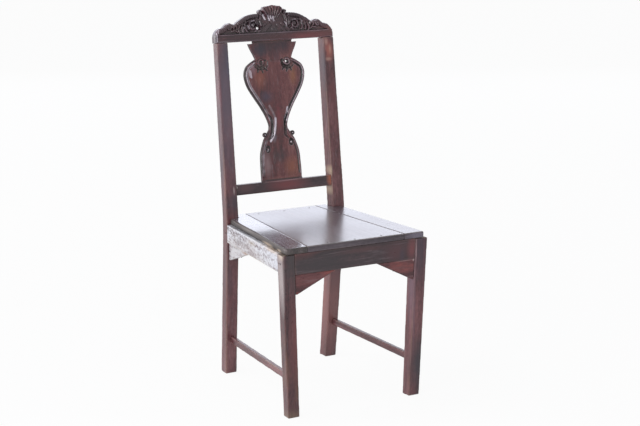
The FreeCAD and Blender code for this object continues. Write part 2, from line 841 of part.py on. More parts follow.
front_nail_y = front_rail_inset + front_rail_thickness / 2
rear_nail_y = rear_rail_front() + rear_rail_thickness / 2
centre_half_width = outer_x(rear_nail_y, frame_top) - seat_side_inset - side_board_width - board_seam
nail_places = []
for share in front_nail_shares:
    nail_places.append((share * centre_half_width, front_nail_y))
    nail_places.append((share * centre_half_width, rear_nail_y))
side_nail_places = []
for share in side_nail_shares:
    y = share * frame_depth
    x = outer_x(y, frame_top) - side_rail_thickness + tenon_gap_wall + nail_head_diameter / 2
    side_nail_places += [(x, y), (-x, y)]
nail_places += side_nail_places
seat_nails = [seat_nail(x, y) for x, y in nail_places]
seat_nail_holes = [seat_nail(x, y, nail_clearance, nail_sink + cut_overrun) for x, y in nail_places]


def bracket_nails(length, height, toe_x, y):
    """Two nails from the sloping edge of the right front bracket: up into the rail, and into the leg."""
    up_x = toe_x - length * bracket_nail_share
    slope = (height - bracket_tip) / (length - bracket_toe)
    up_z = front_rail_bottom - height + slope * (length * bracket_nail_share - bracket_toe)
    side_z = front_rail_bottom - height / 2
    side_x = toe_x - bracket_toe - (height / 2) / slope
    return [(point(up_x, y, up_z + nail_sink), Z_AXIS), (point(side_x + nail_sink, y, side_z), X_AXIS)]


def front_bracket_nail_places(length, height):
    inner_x = front_half_width(front_rail_bottom) - blend(front_leg_width_foot, front_leg_width_top,
                                                          front_rail_bottom / leg_top)
    y = front_rail_inset + front_bracket_inset + front_bracket_thickness / 2
    return bracket_nails(length, height, inner_x, y)


def side_bracket_nail_places():
    """Likewise from the sloping edge of a side bracket."""
    bottom = side_rail_bottom - side_bracket_height
    post_y = post_front(bottom)
    slope = (side_bracket_height - bracket_tip) / (post_y - bracket_toe - frame_depth + side_bracket_length)
    inset = side_bracket_inset + side_bracket_thickness / 2
    up_y = post_y - side_bracket_length * bracket_nail_share
    up_z = bottom + slope * (side_bracket_length * bracket_nail_share - bracket_toe)
    side_z = bottom + side_bracket_height / 2
    side_y = post_y - bracket_toe - (side_bracket_height / 2) / slope
    return [(point(outer_x(up_y, up_z) - inset, up_y, up_z + nail_sink), Z_AXIS),
            (point(outer_x(side_y, side_z) - inset, side_y + nail_sink, side_z), Y_AXIS)]


def nails_at(places, lengths, clearance=0.0, overrun=0.0):
    return [nail(start, direction, length, clearance, overrun) for (start, direction), length in
            zip(places, lengths)]


def nail_lengths(places, hull_face):
    """The nail into the rail has the plain length, the one across reaches past the bracket."""
    across_start = places[1][0]
    across = places[1][1]
    reach = hull_face - across_start.dot(across)
    return (bracket_nail_length, reach + bracket_nail_length * half_share)


front_nail_sets = {}
for side, length, height in (("left", left_front_bracket_length, left_front_bracket_height),
                             ("right", right_front_bracket_length, right_front_bracket_height)):
    places = front_bracket_nail_places(length, height)
    leg_face = front_half_width(front_rail_bottom) - front_leg_width_top
    front_nail_sets[side] = (places, nail_lengths(places, leg_face))
side_places = side_bracket_nail_places()
side_nail_set = (side_places, nail_lengths(side_places, post_front(side_rail_bottom)))

hole_overrun = nail_sink + bracket_nail_length
bracket_nail_solids = []
for side in stretcher_sizes:
    front_nails = nails_at(*front_nail_sets[side])
    side_nails = nails_at(*side_nail_set)
    front_holes = nails_at(*front_nail_sets[side], nail_clearance, hole_overrun)
    side_holes = nails_at(*side_nail_set, nail_clearance, hole_overrun)
    legs[side] = legs[side].cut(front_holes[1])
    posts[side] = posts[side].cut(side_holes[1])
    if side == "left":
        front_nails = [mirrored(solid) for solid in front_nails]
        side_nails = [mirrored(solid) for solid in side_nails]
        front_holes = [mirrored(solid) for solid in front_holes]
    front_brackets[side] = cut_all(front_brackets[side], front_holes)
    front_rail = front_rail.cut(front_holes[0])
    bracket_nail_solids += front_nails + side_nails
side_holes = nails_at(*side_nail_set, nail_clearance, hole_overrun)
side_bracket_solid = cut_all(side_bracket_solid, side_holes)
side_rail = side_rail.cut(side_holes[0])

front_rail = cut_all(front_rail, seat_nail_holes)
rear_rail = cut_all(rear_rail, seat_nail_holes)
side_rail = cut_all(side_rail, seat_nail_holes)
centre_board = cut_all(centre_board, seat_nail_holes)
side_board_solid = cut_all(side_board_solid, seat_nail_holes)


# Every piece under its name

nodes = {
    "front_seat_rail": front_rail,
    "rear_seat_rail": rear_rail,
    "lower_back_rail": back_rail,
    "back_splat": splat,
    "crest_rail": crest,
    "seat_board_centre": centre_board,
}
for side in stretcher_sizes:
    def on_side(shape):
        return mirrored(shape) if side == "left" else shape.copy()
    nodes[side + "_front_leg"] = on_side(legs[side])
    nodes[side + "_rear_post"] = on_side(posts[side])
    nodes[side + "_seat_rail"] = on_side(side_rail)
    nodes[side + "_stretcher"] = on_side(stretchers[side])
    nodes[side + "_seat_board"] = on_side(side_board_solid)
    nodes[side + "_rear_bracket"] = on_side(side_bracket_solid)
    nodes[side + "_front_bracket"] = front_brackets[side]
nodes["seat_rail_pegs"] = Part.Compound([solid for peg in side_pegs for solid in both_sides(peg)])
nodes["crest_pegs"] = Part.Compound(both_sides(crest_peg(0)))
nodes["seat_nails"] = Part.Compound(seat_nails)
nodes["bracket_nails"] = Part.Compound(bracket_nail_solids)

whole = Part.Compound(list(nodes.values()))
middle_y = (whole.BoundBox.YMin + whole.BoundBox.YMax) / 2
for name, shape in nodes.items():
    shape.translate(point(0, -middle_y, 0))
    shape.exportStep("parts/" + name + ".step")

print("size", whole.BoundBox.XLength, whole.BoundBox.YLength, whole.BoundBox.ZLength)
print("front feet", front_half_width(0) - front_leg_width_foot / 2 - skew(0) * front_leg_depth_foot / 2,
      front_leg_depth_foot / 2 - middle_y)
print("rear feet", rear_half_width(0) - post_width_foot / 2 - skew(0) * post_depth_foot / 2,
      post_front(0) + post_depth_foot / 2 - middle_y)
print("shift", -middle_y)
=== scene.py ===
"""Looks of a carved wooden chair: worn dark varnish, carved crest rail and splat, glossy board seat.

Lengths are in metres unless a name ends in _mm. The carving is worked out in millimetres.
"""

import math

import bpy
import numpy as np
from mathutils import Matrix, Vector, noise


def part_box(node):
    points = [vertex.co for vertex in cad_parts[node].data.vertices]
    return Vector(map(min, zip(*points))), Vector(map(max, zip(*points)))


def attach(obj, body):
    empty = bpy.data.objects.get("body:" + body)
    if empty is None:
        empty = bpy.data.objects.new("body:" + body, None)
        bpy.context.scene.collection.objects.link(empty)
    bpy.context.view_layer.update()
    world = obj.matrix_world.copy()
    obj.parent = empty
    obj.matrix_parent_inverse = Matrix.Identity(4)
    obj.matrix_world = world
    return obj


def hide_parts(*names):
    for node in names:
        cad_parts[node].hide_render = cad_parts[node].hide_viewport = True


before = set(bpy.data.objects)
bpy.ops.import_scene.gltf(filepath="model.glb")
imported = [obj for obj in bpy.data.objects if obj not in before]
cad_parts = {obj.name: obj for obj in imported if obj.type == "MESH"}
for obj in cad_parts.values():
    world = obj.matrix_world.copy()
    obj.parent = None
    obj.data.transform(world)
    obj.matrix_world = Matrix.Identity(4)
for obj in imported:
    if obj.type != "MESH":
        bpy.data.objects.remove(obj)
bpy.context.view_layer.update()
scene = bpy.context.scene

MM = 0.001
BODY = "root"

# The chair's main places, as in the CAD. A corner is the low end of a piece's box.
left_leg_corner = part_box("left_front_leg")[0]
right_leg_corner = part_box("right_front_leg")[0]
leg_front = left_leg_corner.y
leg_width = 0.036
right_joint_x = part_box("right_front_leg")[1].x - leg_width
front_rail_bottom, frame_top = (corner.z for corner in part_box("front_seat_rail"))
frame_front = Vector((0, leg_front, frame_top))
right_joint = Vector((right_joint_x, leg_front, frame_top))
seat_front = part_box("right_seat_board")[0].y
seat_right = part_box("right_seat_board")[1].x
seat_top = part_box("left_seat_board")[1].z
rear_bracket_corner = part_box("left_rear_bracket")[0]
frame_depth = 0.373
stile_rake = 0.062
stile_rise = 0.486
back_angle = math.atan2(stile_rake, stile_rise)
joint_height_mm = math.hypot(stile_rake, stile_rise) / MM

# Camera, found from the chair's edges in the photograph
camera_place = Vector((-2.0324, -3.3696, 1.4003))
camera_yaw, camera_pitch, camera_roll = map(math.radians, (-29.72, -12.62, 0.206))
camera_lens_mm = 88.82
sensor_width_mm = 36.0

# Crest rail, in the plane of the back: x across, height above the stiles' joint, depth backwards
crest_half_length_mm = 181.0
crest_height_mm = 96.2
crest_front_mm = 2.2
crest_back_mm = 27.8
band_height_mm = 21.0
ground_depth_mm = 5.0
ground_slope = 0.173
crest_round_mm = 2.6
crest_back_round_mm = 1.5
crest_step_mm = 0.95
crest_hole_place_mm = (-44.0, 34.6)
crest_hole_radius_mm = 3.0
carving_room_mm = 3.2       # the deepest carving lies this far behind the plain ground
carving_least_mm = 0.4      # and the highest stays this far behind the band

crest_outline_shares = [
    [(1.0, 0.147), (0.988, 0.245), (0.965, 0.319), (0.923, 0.388), (0.841, 0.431)],
    [(0.841, 0.431), (0.8, 0.501), (0.745, 0.543), (0.7, 0.516), (0.66, 0.478)],
    [(0.66, 0.478), (0.625, 0.526), (0.57, 0.601), (0.468, 0.704), (0.39, 0.75), (0.3, 0.768),
     (0.225, 0.768)],
    [(0.225, 0.768), (0.236, 0.823), (0.205, 0.877), (0.172, 0.853)],
    [(0.172, 0.853), (0.143, 0.948), (0.09, 0.964), (0.0, 0.994)],
]

# The crest's shell
shell_foot_mm = 40.0
shell_spread_deg = 38.0
shell_ribs = 7
shell_rise_mm = 8.5
shell_hollow_mm = 1.5
shell_cut_half_width_mm = 2.6
shell_cut_depth_mm = 3.4

# The rest of the crest's carving, across from its middle and above its foot. It is on both sides
# unless it is said to be on one.
# Zone of the large lobes: where it begins and where it ends
crest_lobe_zone_mm = ((42, 47), (108, 116))
# Rims that follow the outline: distance from the edge, half width, height
crest_rim_mm = (5.6, 6.6, 8.0)
crest_second_rim_mm = (15.0, 2.8, 4.6)
# Scrolls: centre, radius, turns, start in degrees, sense, half width, height
crest_scrolls_mm = (
    ((64, 42), 15.5, 1.35, 160, -1, 3.6, 6.0),
    ((137, 40.5), 9.5, 1.1, 40, 1, 3.2, 6.0),
    ((41, 77), 6.5, 0.9, 250, -1, 3.2, 8.0),
)
# Round buttons in the scrolls: across, up, radius, height
crest_buttons_mm = ((64, 42, 4.6, 6.5), (137, 40.5, 3.8, 6.4))
# Stems, strokes, tails and leaves: places on each, half width, height
crest_ridges_mm = (
    ([(50, 62), (48, 50), (51, 38), (58, 27)], 3.4, 4.8),
    ([(82, 60), (87, 50), (89, 38), (84, 27)], 2.9, 5.2),
    ([(91, 57), (96, 47), (99, 36), (96, 26)], 2.9, 5.2),
    ([(101, 50), (106, 41), (109, 32), (107, 25)], 2.9, 5.2),
    ([(147, 34), (156, 29), (168, 25.5)], 3.2, 3.6),
    ([(112, 27), (120, 31), (127, 30)], 3.2, 4.0),
    ([(36, 74), (40, 62), (41, 50), (38, 38)], 3.6, 5.6),
    ([(0, 36), (2, 30), (3, 24)], 6.0, 2.4),
    ([(12, 42), (22, 34), (32, 24.5)], 5.0, 2.4),
    ([(26, 45), (38, 37), (47, 25)], 4.0, 2.4),
)
# Round pits: across, up, radius
crest_pits_mm = ((36, 37, 4.0), (75, 29, 3.6), (79, 49, 3.4), (118, 38, 3.4), (127, 36, 2.8))
crest_pit_depth_mm = 6.0
crest_deepest_mm = 3.0
# Hollows on one side only: places, half width, depth
crest_hollows_mm = (([(-55, 39), (-45, 35)], 6.5, 13.0), ([(52, 38), (50, 36)], 4.5, 6.0))
# Chisel strokes on one side only
crest_strokes_mm = (
    [(-29, 69), (-24, 57)], [(-15, 67), (-11, 56)], [(1, 66), (1.5, 53)], [(36, 49), (41, 36)],
    [(-79, 42), (-75, 33)], [(-71, 50), (-67, 41)], [(87, 50), (90, 40)], [(101, 38), (103, 28)],
)
stroke_half_width_mm = 3.6
stroke_depth_mm = 4.2
# Painted highlights on the carving, on one side only: places, half width, strength
crest_gleams_mm = (
    ([(-28, 70), (-23, 57)], 2.4, 1.0), ([(-14.5, 68), (-10, 55)], 2.2, 1.0),
    ([(1.5, 66), (2.5, 53)], 2.0, 1.0), ([(-7, 66), (-5, 58)], 1.4, 1.0),
    ([(-177, 4), (-177, 26)], 1.0, 1.0), ([(36, 49), (41, 36)], 1.6, 0.5),
    ([(87, 51), (90, 40)], 1.8, 0.5), ([(101, 39), (103, 28)], 1.8, 0.5),
    ([(-79, 43), (-75, 33)], 1.8, 0.5), ([(-71, 51), (-67, 42)], 1.6, 0.5),
    ([(-93, 40), (-92, 30)], 1.3, 0.5), ([(-170, 34), (-172, 26)], 1.6, 0.5),
    ([(-145, 48), (-138, 50)], 1.6, 0.5), ([(128, 47), (136, 50)], 1.4, 0.5),
    ([(58, 52), (67, 54)], 1.3, 0.5), ([(-68, 54), (-60, 56)], 1.2, 0.5),
)

# Splat, in its own plane: x across, height above the lower back rail, depth backwards
back_rail_top_mm = 105.0
splat_height_mm = joint_height_mm - back_rail_top_mm
splat_half_width_mm = 94.0
splat_thickness_mm = 10.0
splat_base_depth_mm = 12.0
splat_top_depth_mm = 21.0
splat_tongue_mm = 8.8
splat_base_tongue_mm = 54.0
splat_top_tongue_mm = 61.0
splat_step_mm = 1.15
splat_face_mm = 3.2         # the plain face lies this far behind the front
splat_neck_mm = 0.8         # and the neck this much farther
splat_round_mm = 2.0
splat_back_round_mm = 1.2
splat_least_mm = 0.05
splat_web_mm = 2.4          # wood left behind the deepest cut
curl_place_mm = (42.8, 0.331 * splat_height_mm)
curl_radius_mm = 6.5
eye_place_mm = (39.0, 0.846 * splat_height_mm)
eye_radius_mm = 3.0

splat_outline_shares = [
    [(0.0, 0.672), (0.1, 0.668), (0.19, 0.65), (0.25, 0.585), (0.295, 0.515)],
    [(0.366, 0.318), (0.4, 0.31), (0.46, 0.395), (0.53, 0.548), (0.6, 0.735), (0.68, 0.925),
     (0.757, 1.0), (0.815, 0.935), (0.848, 0.775), (0.871, 0.6)],
    [(0.871, 0.6), (0.905, 0.66), (0.945, 0.745), (0.982, 0.805)],
]

# Zones of the splat's carving, as shares of its height: where each begins and where it ends
vase_zone_shares = ((0.37, 0.41), (0.845, 0.862))
bell_zone_shares = ((0.02, 0.05), (0.275, 0.3))
waist_zone_shares = ((0.27, 0.33), (0.43, 0.52))
outline_zone_shares = ((0.03, 0.08), (0.8, 0.84))
gap_zone_shares = ((0.27, 0.3), (0.4, 0.44))
thin_zone_shares = ((0.42, 0.5), (0.8, 0.84))

# The highlight down the left of the splat's waist, and the fainter one above it
waist_line_mm = [(-9.2, 171), (-10, 155), (-13.6, 136), (-20, 121), (-27, 109)]
waist_tail_mm = [(-24, 206), (-15, 187), (-9.5, 171)]


# Small helpers

def ramp(value, low, high):
    """0 below low, 1 above high and smooth between."""
    t = np.clip((value - low) / (high - low), 0, 1)
    return t * t * (3 - 2 * t)


def between(value, rise, fall):
    """1 between two places and 0 outside them, with smooth steps over the rise and the fall."""
    return ramp(value, *rise) * ramp(-value, -fall[1], -fall[0])


def bead(distance, half_width):
    """A half-round ridge profile: 1 on its middle, 0 at its edges."""
    return np.sqrt(np.clip(1 - (distance / half_width) ** 2, 0, 1))


def chisel(distance, half_width):
    """A V-shaped cut: 1 on its middle, 0 at its edges, with flat sides."""
    return np.clip(1 - np.abs(distance) / half_width, 0, 1)


def rounded_edge(edge, radius):
    """How far a rounded edge drops below the face, from the distance to the outline."""
    lift = np.clip(radius - edge, 0, None)
    return radius - np.sqrt(np.clip(radius ** 2 - lift ** 2, 0, None))


def catmull(points, per_span=12):
    """Points along a smooth curve through the given ones."""
    p = np.array([points[0]] + list(points) + [points[-1]], float)
    out = []
    for i in range(1, len(p) - 2):
        t = np.linspace(0, 1, per_span, endpoint=False)[:, None]
        a, b, c, d = p[i - 1], p[i], p[i + 1], p[i + 2]
        out.append(0.5 * (2 * b + (c - a) * t + (2 * a - 5 * b + 4 * c - d) * t ** 2
                          + (3 * b - a - 3 * c + d) * t ** 3))
    out.append(p[-1][None, :])
    return np.concatenate(out)


def joined(stretches):
    """Smooth curves through the points of each stretch, one after the other."""
    return np.concatenate([catmull(stretch) for stretch in stretches])


def distance_to(path, x, y):
    """Distance of each place to a path of straight runs."""
    best = np.full(x.shape, np.inf)
    for (ax, ay), (bx, by) in zip(path[:-1], path[1:]):
        ux, uy = bx - ax, by - ay
        length = max(ux * ux + uy * uy, 1e-9)
        t = np.clip(((x - ax) * ux + (y - ay) * uy) / length, 0, 1)
        best = np.minimum(best, np.hypot(x - ax - t * ux, y - ay - t * uy))
    return best


def from_point(point, x, h):
    """Distance of each place to a point."""
    return np.hypot(x - point[0], h - point[1])


def ridge(line, half_width, height, x, h):
    """A half-round ridge along a line."""
    return height * bead(distance_to(np.array(line), x, h), half_width)


def cut_along(line, half_width, depth, x, h):
    """A V-shaped cut along a line."""
    return depth * chisel(distance_to(np.array(line), x, h), half_width)


def spiral(centre, radius, turns, start_deg, sense, end_share=0.18):
    """A volute's line, from its outside in to its eye."""
    t = np.linspace(0, 1, int(26 * turns))
    r = radius * (1 - t * (1 - end_share))
    angle = math.radians(start_deg) + sense * t * turns * 2 * math.pi
    return np.stack([centre[0] + r * np.cos(angle), centre[1] + r * np.sin(angle)], 1)


def field(x, h, across, along, offset):
    """Soft unevenness, between about -1 and 1."""
    return np.array([noise.noise(Vector((a * across, b * along, offset))) for a, b in zip(x, h)])


def back_to_row():
    """From the plane of the back, in millimetres, to the row's frame."""
    place = Matrix.Translation((0, leg_front + frame_depth, frame_top))
    return place @ Matrix.Rotation(-back_angle, 4, "X") @ Matrix.Scale(MM, 4)


def joint_to_row():
    """The same, with heights from the stiles' joint."""
    return back_to_row() @ Matrix.Translation((0, 0, joint_height_mm))


def on_back(x, h):
    """A place on the plane of the back, given across and above the stiles' joint."""
    return joint_to_row() @ Vector((x, 0.0, h))


def new_object(name, data):
    """An object with the data, in the scene."""
    obj = bpy.data.objects.new(name, data)
    scene.collection.objects.link(obj)
    return obj


def build(name, points, faces, matrix):
    """An object with a mesh of the points and faces, moved by the matrix."""
    mesh = bpy.data.meshes.new(name)
    mesh.from_pydata([matrix @ Vector(p) for p in points], [], faces)
    mesh.update()
    return new_object(name, mesh)


def inside_distance(path, x, h):
    """Distance to a half outline that starts and ends on the middle line, positive inside it."""
    odd = np.zeros(x.shape, bool)
    for (ax, ah), (bx, bh) in zip(path[:-1], path[1:]):
        if ah != bh:
            odd ^= ((ah > h) != (bh > h)) & (x < ax + (h - ah) * (bx - ax) / (bh - ah))
    distance = distance_to(path, x, h)
    return np.where(odd, distance, -distance)


def plate(name, xs, hs, inside, front, back, matrix):
    """A closed solid over the places of a grid where inside is positive.

    front and back give its depths from x, the height and the distance to the edge.
    """
    small = 0.05
    inside = np.where(np.abs(inside) < small, -small, inside)
    keep = inside > 0
    number = np.where(keep, np.cumsum(keep).reshape(keep.shape) - 1, -1)
    grid_x, grid_h = np.meshgrid(xs, hs)
    points = np.stack([grid_x[keep], grid_h[keep], inside[keep]], 1).tolist()
    crossings = {}

    def crossing(a, b):
        """The vertex where the edge of the shape crosses a side of a grid cell."""
        key = (min(a, b), max(a, b))
        if key not in crossings:
            share = inside[a] / (inside[a] - inside[b])
            x = xs[a[1]] + (xs[b[1]] - xs[a[1]]) * share
            h = hs[a[0]] + (hs[b[0]] - hs[a[0]]) * share
            crossings[key] = len(points)
            points.append([x, h, 0.0])
        return crossings[key]

    cells = keep[:-1, :-1].astype(int) + keep[:-1, 1:] + keep[1:, 1:] + keep[1:, :-1]
    full = cells == 4
    faces = np.stack([number[:-1, :-1][full], number[:-1, 1:][full], number[1:, 1:][full],
                      number[1:, :-1][full]], 1).tolist()
    rim = []
    for i, j in np.argwhere((cells > 0) & ~full).tolist():
        corners = [(i, j), (i, j + 1), (i + 1, j + 1), (i + 1, j)]
        loop = []
        for a, b in zip(corners, corners[1:] + corners[:1]):
            if keep[a]:
                loop.append((int(number[a]), False))
            if keep[a] != keep[b]:
                loop.append((crossing(a, b), True))
        faces.append([vertex for vertex, _ in loop])
        sides = zip(loop, loop[1:] + loop[:1])
        rim += [(a, b) for (a, a_cross), (b, b_cross) in sides if a_cross and b_cross]
    x, h, edge = np.array(points).T
    count = len(points)
    depths = np.concatenate([front(x, h, edge), back(x, h, edge)])
    vertices = np.stack([np.tile(x, 2), depths, np.tile(h, 2)], 1)
    solid = faces + [[v + count for v in reversed(face)] for face in faces]
    solid += [[b, a, a + count, b + count] for a, b in rim]
    return build(name, vertices, solid, matrix)


def applied(obj):
    """Replaces an object's mesh by what its modifiers make of it."""
    graph = bpy.context.evaluated_depsgraph_get()
    mesh = bpy.data.meshes.new_from_object(obj.evaluated_get(graph))
    obj.modifiers.clear()
    obj.data = mesh


def places(mesh, kind):
    """Each vertex's place or normal, as rows of three."""
    values = np.zeros(len(mesh.vertices) * 3)
    mesh.vertices.foreach_get(kind, values)
    return values.reshape(-1, 3)


def store(mesh, name, values):
    """Stores one value for each vertex."""
    layer = mesh.attributes.new(name, "FLOAT", "POINT")
    layer.data.foreach_set("value", values.astype(np.float32))


def relief_attribute(obj, rounds, scale_mm):
    """Stores how far each vertex stands out of, or lies in, its smoothed surroundings."""
    mesh = obj.data
    count = len(mesh.vertices)
    place, normal = places(mesh, "co"), places(mesh, "normal")
    ends = np.zeros(len(mesh.edges) * 2, int)
    mesh.edges.foreach_get("vertices", ends)
    a, b = ends.reshape(-1, 2).T
    degree = np.maximum(np.bincount(a, minlength=count) + np.bincount(b, minlength=count), 1)[:, None]
    smooth = place.copy()
    for _ in range(rounds):
        total = np.zeros_like(smooth)
        for axis in range(3):
            total[:, axis] = (np.bincount(a, smooth[b, axis], count)
                              + np.bincount(b, smooth[a, axis], count))
        smooth = 0.5 * smooth + 0.5 * total / degree
    height = ((place - smooth) * normal).sum(1) / (scale_mm * MM)
    store(mesh, "relief", np.clip(height, -1, 1))


def gleam_attribute(obj, matrix, painted_light):
    """Stores the carving's painted highlights, positive, and painted shade lines, negative, by a
    function of its own plane.
    """
    back = np.array(matrix.inverted())
    place = places(obj.data, "co") @ back[:3, :3].T + back[:3, 3]
    facing = places(obj.data, "normal")[:, 1] < -0.2
    store(obj.data, "painted_light", painted_light(place[:, 0], place[:, 2]) * facing)


def second_material(obj, material, chosen):
    """Puts another material on the faces whose normals are chosen."""
    obj.data.materials.append(material)
    for face in obj.data.polygons:
        face.material_index = int(chosen(face.normal))


def with_settings(target, **settings):
    """Gives a modifier, a lamp or a camera its settings."""
    for key, value in settings.items():
        setattr(target, key, value)


def finish_piece(obj, node, material):
    """Gives a piece its material and smooth shading, and puts it in the place of its CAD node."""
    obj.data.materials.clear()
    obj.data.materials.append(material)
    obj.data.polygons.foreach_set("use_smooth", [True] * len(obj.data.polygons))
    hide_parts(node)
    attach(obj, BODY)


# Carved crest rail

def crest_half_outline():
    """From the middle of the foot round the right end to the middle of the top."""
    line = joined(crest_outline_shares) * [crest_half_length_mm, crest_height_mm]
    return np.concatenate([[[0, 0], [crest_half_length_mm, 0]], line])


def shell_relief(x, h):
    """The scallop in the middle: ribs that spread from its foot, hollow below and full at the rim."""
    r = np.hypot(x, h - shell_foot_mm)
    angle = np.degrees(np.arctan2(x, h - shell_foot_mm))
    rib = (angle + shell_spread_deg) / (2 * shell_spread_deg) * shell_ribs
    across = np.abs(rib - np.floor(rib) - 0.5)
    rib_angle = math.radians(2 * shell_spread_deg / shell_ribs)
    cut = chisel((0.5 - across) * rib_angle * r, shell_cut_half_width_mm)
    inside = ramp(shell_spread_deg + 3 - np.abs(angle), 0, 4) * ramp(r, 5, 10)
    fullness = shell_rise_mm * ramp(r, 20, 44) + shell_hollow_mm
    return inside * (fullness + bead(across, 0.55) - shell_cut_depth_mm * cut * ramp(r, 12, 20))


def rim_along(edge, rim):
    """A half-round rim that follows the outline, from its distance, half width and height."""
    distance, half_width, height = rim
    return height * bead(edge - distance, half_width)


def crest_relief(x, h, edge):
    """How far the carving stands out of its deepest ground, at places on the crest's front."""
    side = np.abs(x)
    lobe_zone = between(side, *crest_lobe_zone_mm) * ramp(h, 40, 50)
    low_zone = 0.72 * ramp(side, 108, 114)
    parts = [shell_relief(x, h), rim_along(edge, crest_rim_mm) * np.maximum(lobe_zone, low_zone),
             rim_along(edge, crest_second_rim_mm) * lobe_zone]
    for *scroll, half_width, height in crest_scrolls_mm:
        parts.append(ridge(spiral(*scroll), half_width, height, side, h))
    for *centre, radius, height in crest_buttons_mm:
        parts.append(height * bead(from_point(centre, side, h), radius))
    for line, half_width, height in crest_ridges_mm:
        parts.append(ridge(catmull(line, 6), half_width, height, side, h))
    relief = np.maximum.reduce(parts)
    for *centre, radius in crest_pits_mm:
        relief = relief - crest_pit_depth_mm * bead(from_point(centre, side, h), radius)
    ripples = 0.5 * np.sin(x * 0.9 + h * 0.4) * ramp(h, 24, 30)
    relief = np.maximum(relief + ripples, -crest_deepest_mm)
    for line, half_width, depth in crest_hollows_mm:
        relief = relief - ridge(line, half_width, depth, x, h)
    return relief - sum(cut_along(line, stroke_half_width_mm, stroke_depth_mm, x, h)
                        for line in crest_strokes_mm)


def crest_front(x, h, edge):
    """Depth of the crest's front: a plain moulded band below, the carving above it."""
    above = ramp(h, band_height_mm, band_height_mm + 2.0)
    ground = ground_depth_mm + ground_slope * np.clip(h - band_height_mm, 0, None) + carving_room_mm
    carved = np.clip(ground - crest_relief(x, h, edge) - crest_front_mm, carving_least_mm, None)
    moulding = 0.9 * bead(h - band_height_mm + 4.5, 1.8)
    worn = 0.45 * field(x, h, across=0.035, along=0.11, offset=3.1)
    return crest_front_mm + above * carved + moulding + worn + rounded_edge(edge, crest_round_mm)


def crest_back(x, h, edge):
    """Depth of the crest's plain back."""
    worn = 0.3 * field(x, h, across=0.03, along=0.09, offset=8.3)
    return crest_back_mm - np.clip(crest_back_round_mm - edge, 0, None) + worn - 0.3


def crest_gleam(x, h):
    """Painted highlights: pale strokes on the carving."""
    return np.maximum.reduce([ridge(line, half_width, strength, x, h)
                              for line, half_width, strength in crest_gleams_mm])


def steps_over(low, high, step):
    """Even steps from a little below low to a little above high."""
    return np.arange(low - step, high + 2 * step, step)


def carved_crest(material):
    """The carved crest rail, with its one small round hole."""
    xs = steps_over(-crest_half_length_mm, crest_half_length_mm, crest_step_mm)
    hs = steps_over(0, crest_height_mm, crest_step_mm)
    x, h = np.meshgrid(xs, hs)
    inside = inside_distance(crest_half_outline(), np.abs(x), h)
    hole = from_point(crest_hole_place_mm, x, h) - crest_hole_radius_mm
    inside = np.minimum(inside, hole)
    obj = plate("carved_crest", xs, hs, inside, crest_front, crest_back, joint_to_row())
    relief_attribute(obj, rounds=16, scale_mm=2.0)
    gleam_attribute(obj, joint_to_row(), crest_gleam)
    finish_piece(obj, "crest_rail", material)


# Carved splat

def splat_half_outline():
    """From the middle of the lower tongue round the right side to the middle of the upper tongue."""
    line = joined(splat_outline_shares)[:, ::-1] * [splat_half_width_mm, splat_height_mm]
    top = splat_height_mm + splat_tongue_mm
    ear = line[-1]
    foot = [[0, -splat_tongue_mm], [splat_base_tongue_mm, -splat_tongue_mm], [splat_base_tongue_mm, 0]]
    head = [[splat_top_tongue_mm, ear[1]], [splat_top_tongue_mm, top], [0, top]]
    return np.concatenate([foot, line, head])


def splat_border(x, share, edge):
    """The raised border of the vase and of the bell below it, with the groove inside it."""
    in_vase = between(share, *vase_zone_shares)
    in_bell = between(share, *bell_zone_shares)
    bevel = 3.0 * np.clip(edge / 4.5, 0, 1) - 1.8 * ramp(edge, 6.5, 9.5)
    border = bevel * (in_vase + 0.8 * in_bell)
    deep = np.where(x > 0, 1.0, 0.4)
    vase_groove = 2.8 * chisel(edge - 10.3, 3.2) * in_vase
    bell_groove = 2.0 * chisel(edge - 8.6, 2.4) * in_bell
    belly = 1.3 * in_vase * np.clip(1 - (x / 80) ** 2, 0, 1) * ramp(share, 0.5, 0.65)
    return border - deep * (vase_groove + bell_groove) + belly


def splat_column(side, share):
    """The raised column of the waist, which opens into the vase above and the bell below."""
    half_width = 15.5 + 18.0 * ramp(-share, -0.33, -0.27) + 26.0 * ramp(share, 0.43, 0.53)
    column = 4.2 * np.clip((half_width + 2.5 - side) / 6.0, 0, 1)
    return between(share, *waist_zone_shares) * (column - 2.6 * bead(side - half_width - 5.0, 3.6))


def splat_curl(x, side, h):
    """The curls at the waist's sides: a ringed button, the arm above it and the drop below."""
    from_curl = from_point(curl_place_mm, side, h)
    button = (1.8 * bead(from_curl, 2.6) - 2.4 * bead(from_curl - 4.0, 1.6)
              + 1.4 * bead(from_curl - 6.2, 1.5))
    arm_line = [(24, 0.4 * splat_height_mm), (25, 140), (31, 127), (36, 119), (44, 110)]
    arm = ridge(catmull(arm_line, 8), 2.8, 1.8, side, h)
    drop_x = np.where(x > 0, 36.0, 37.0)
    drop_h = np.where(x > 0, 103.0, 88.0)
    from_drop = np.hypot((side - drop_x) * 1.25, (h - drop_h) * 0.8)
    drop = 1.6 * bead(from_drop, 3.2) - 3.0 * bead(from_drop - 6.0, 2.4)
    return button + arm + drop


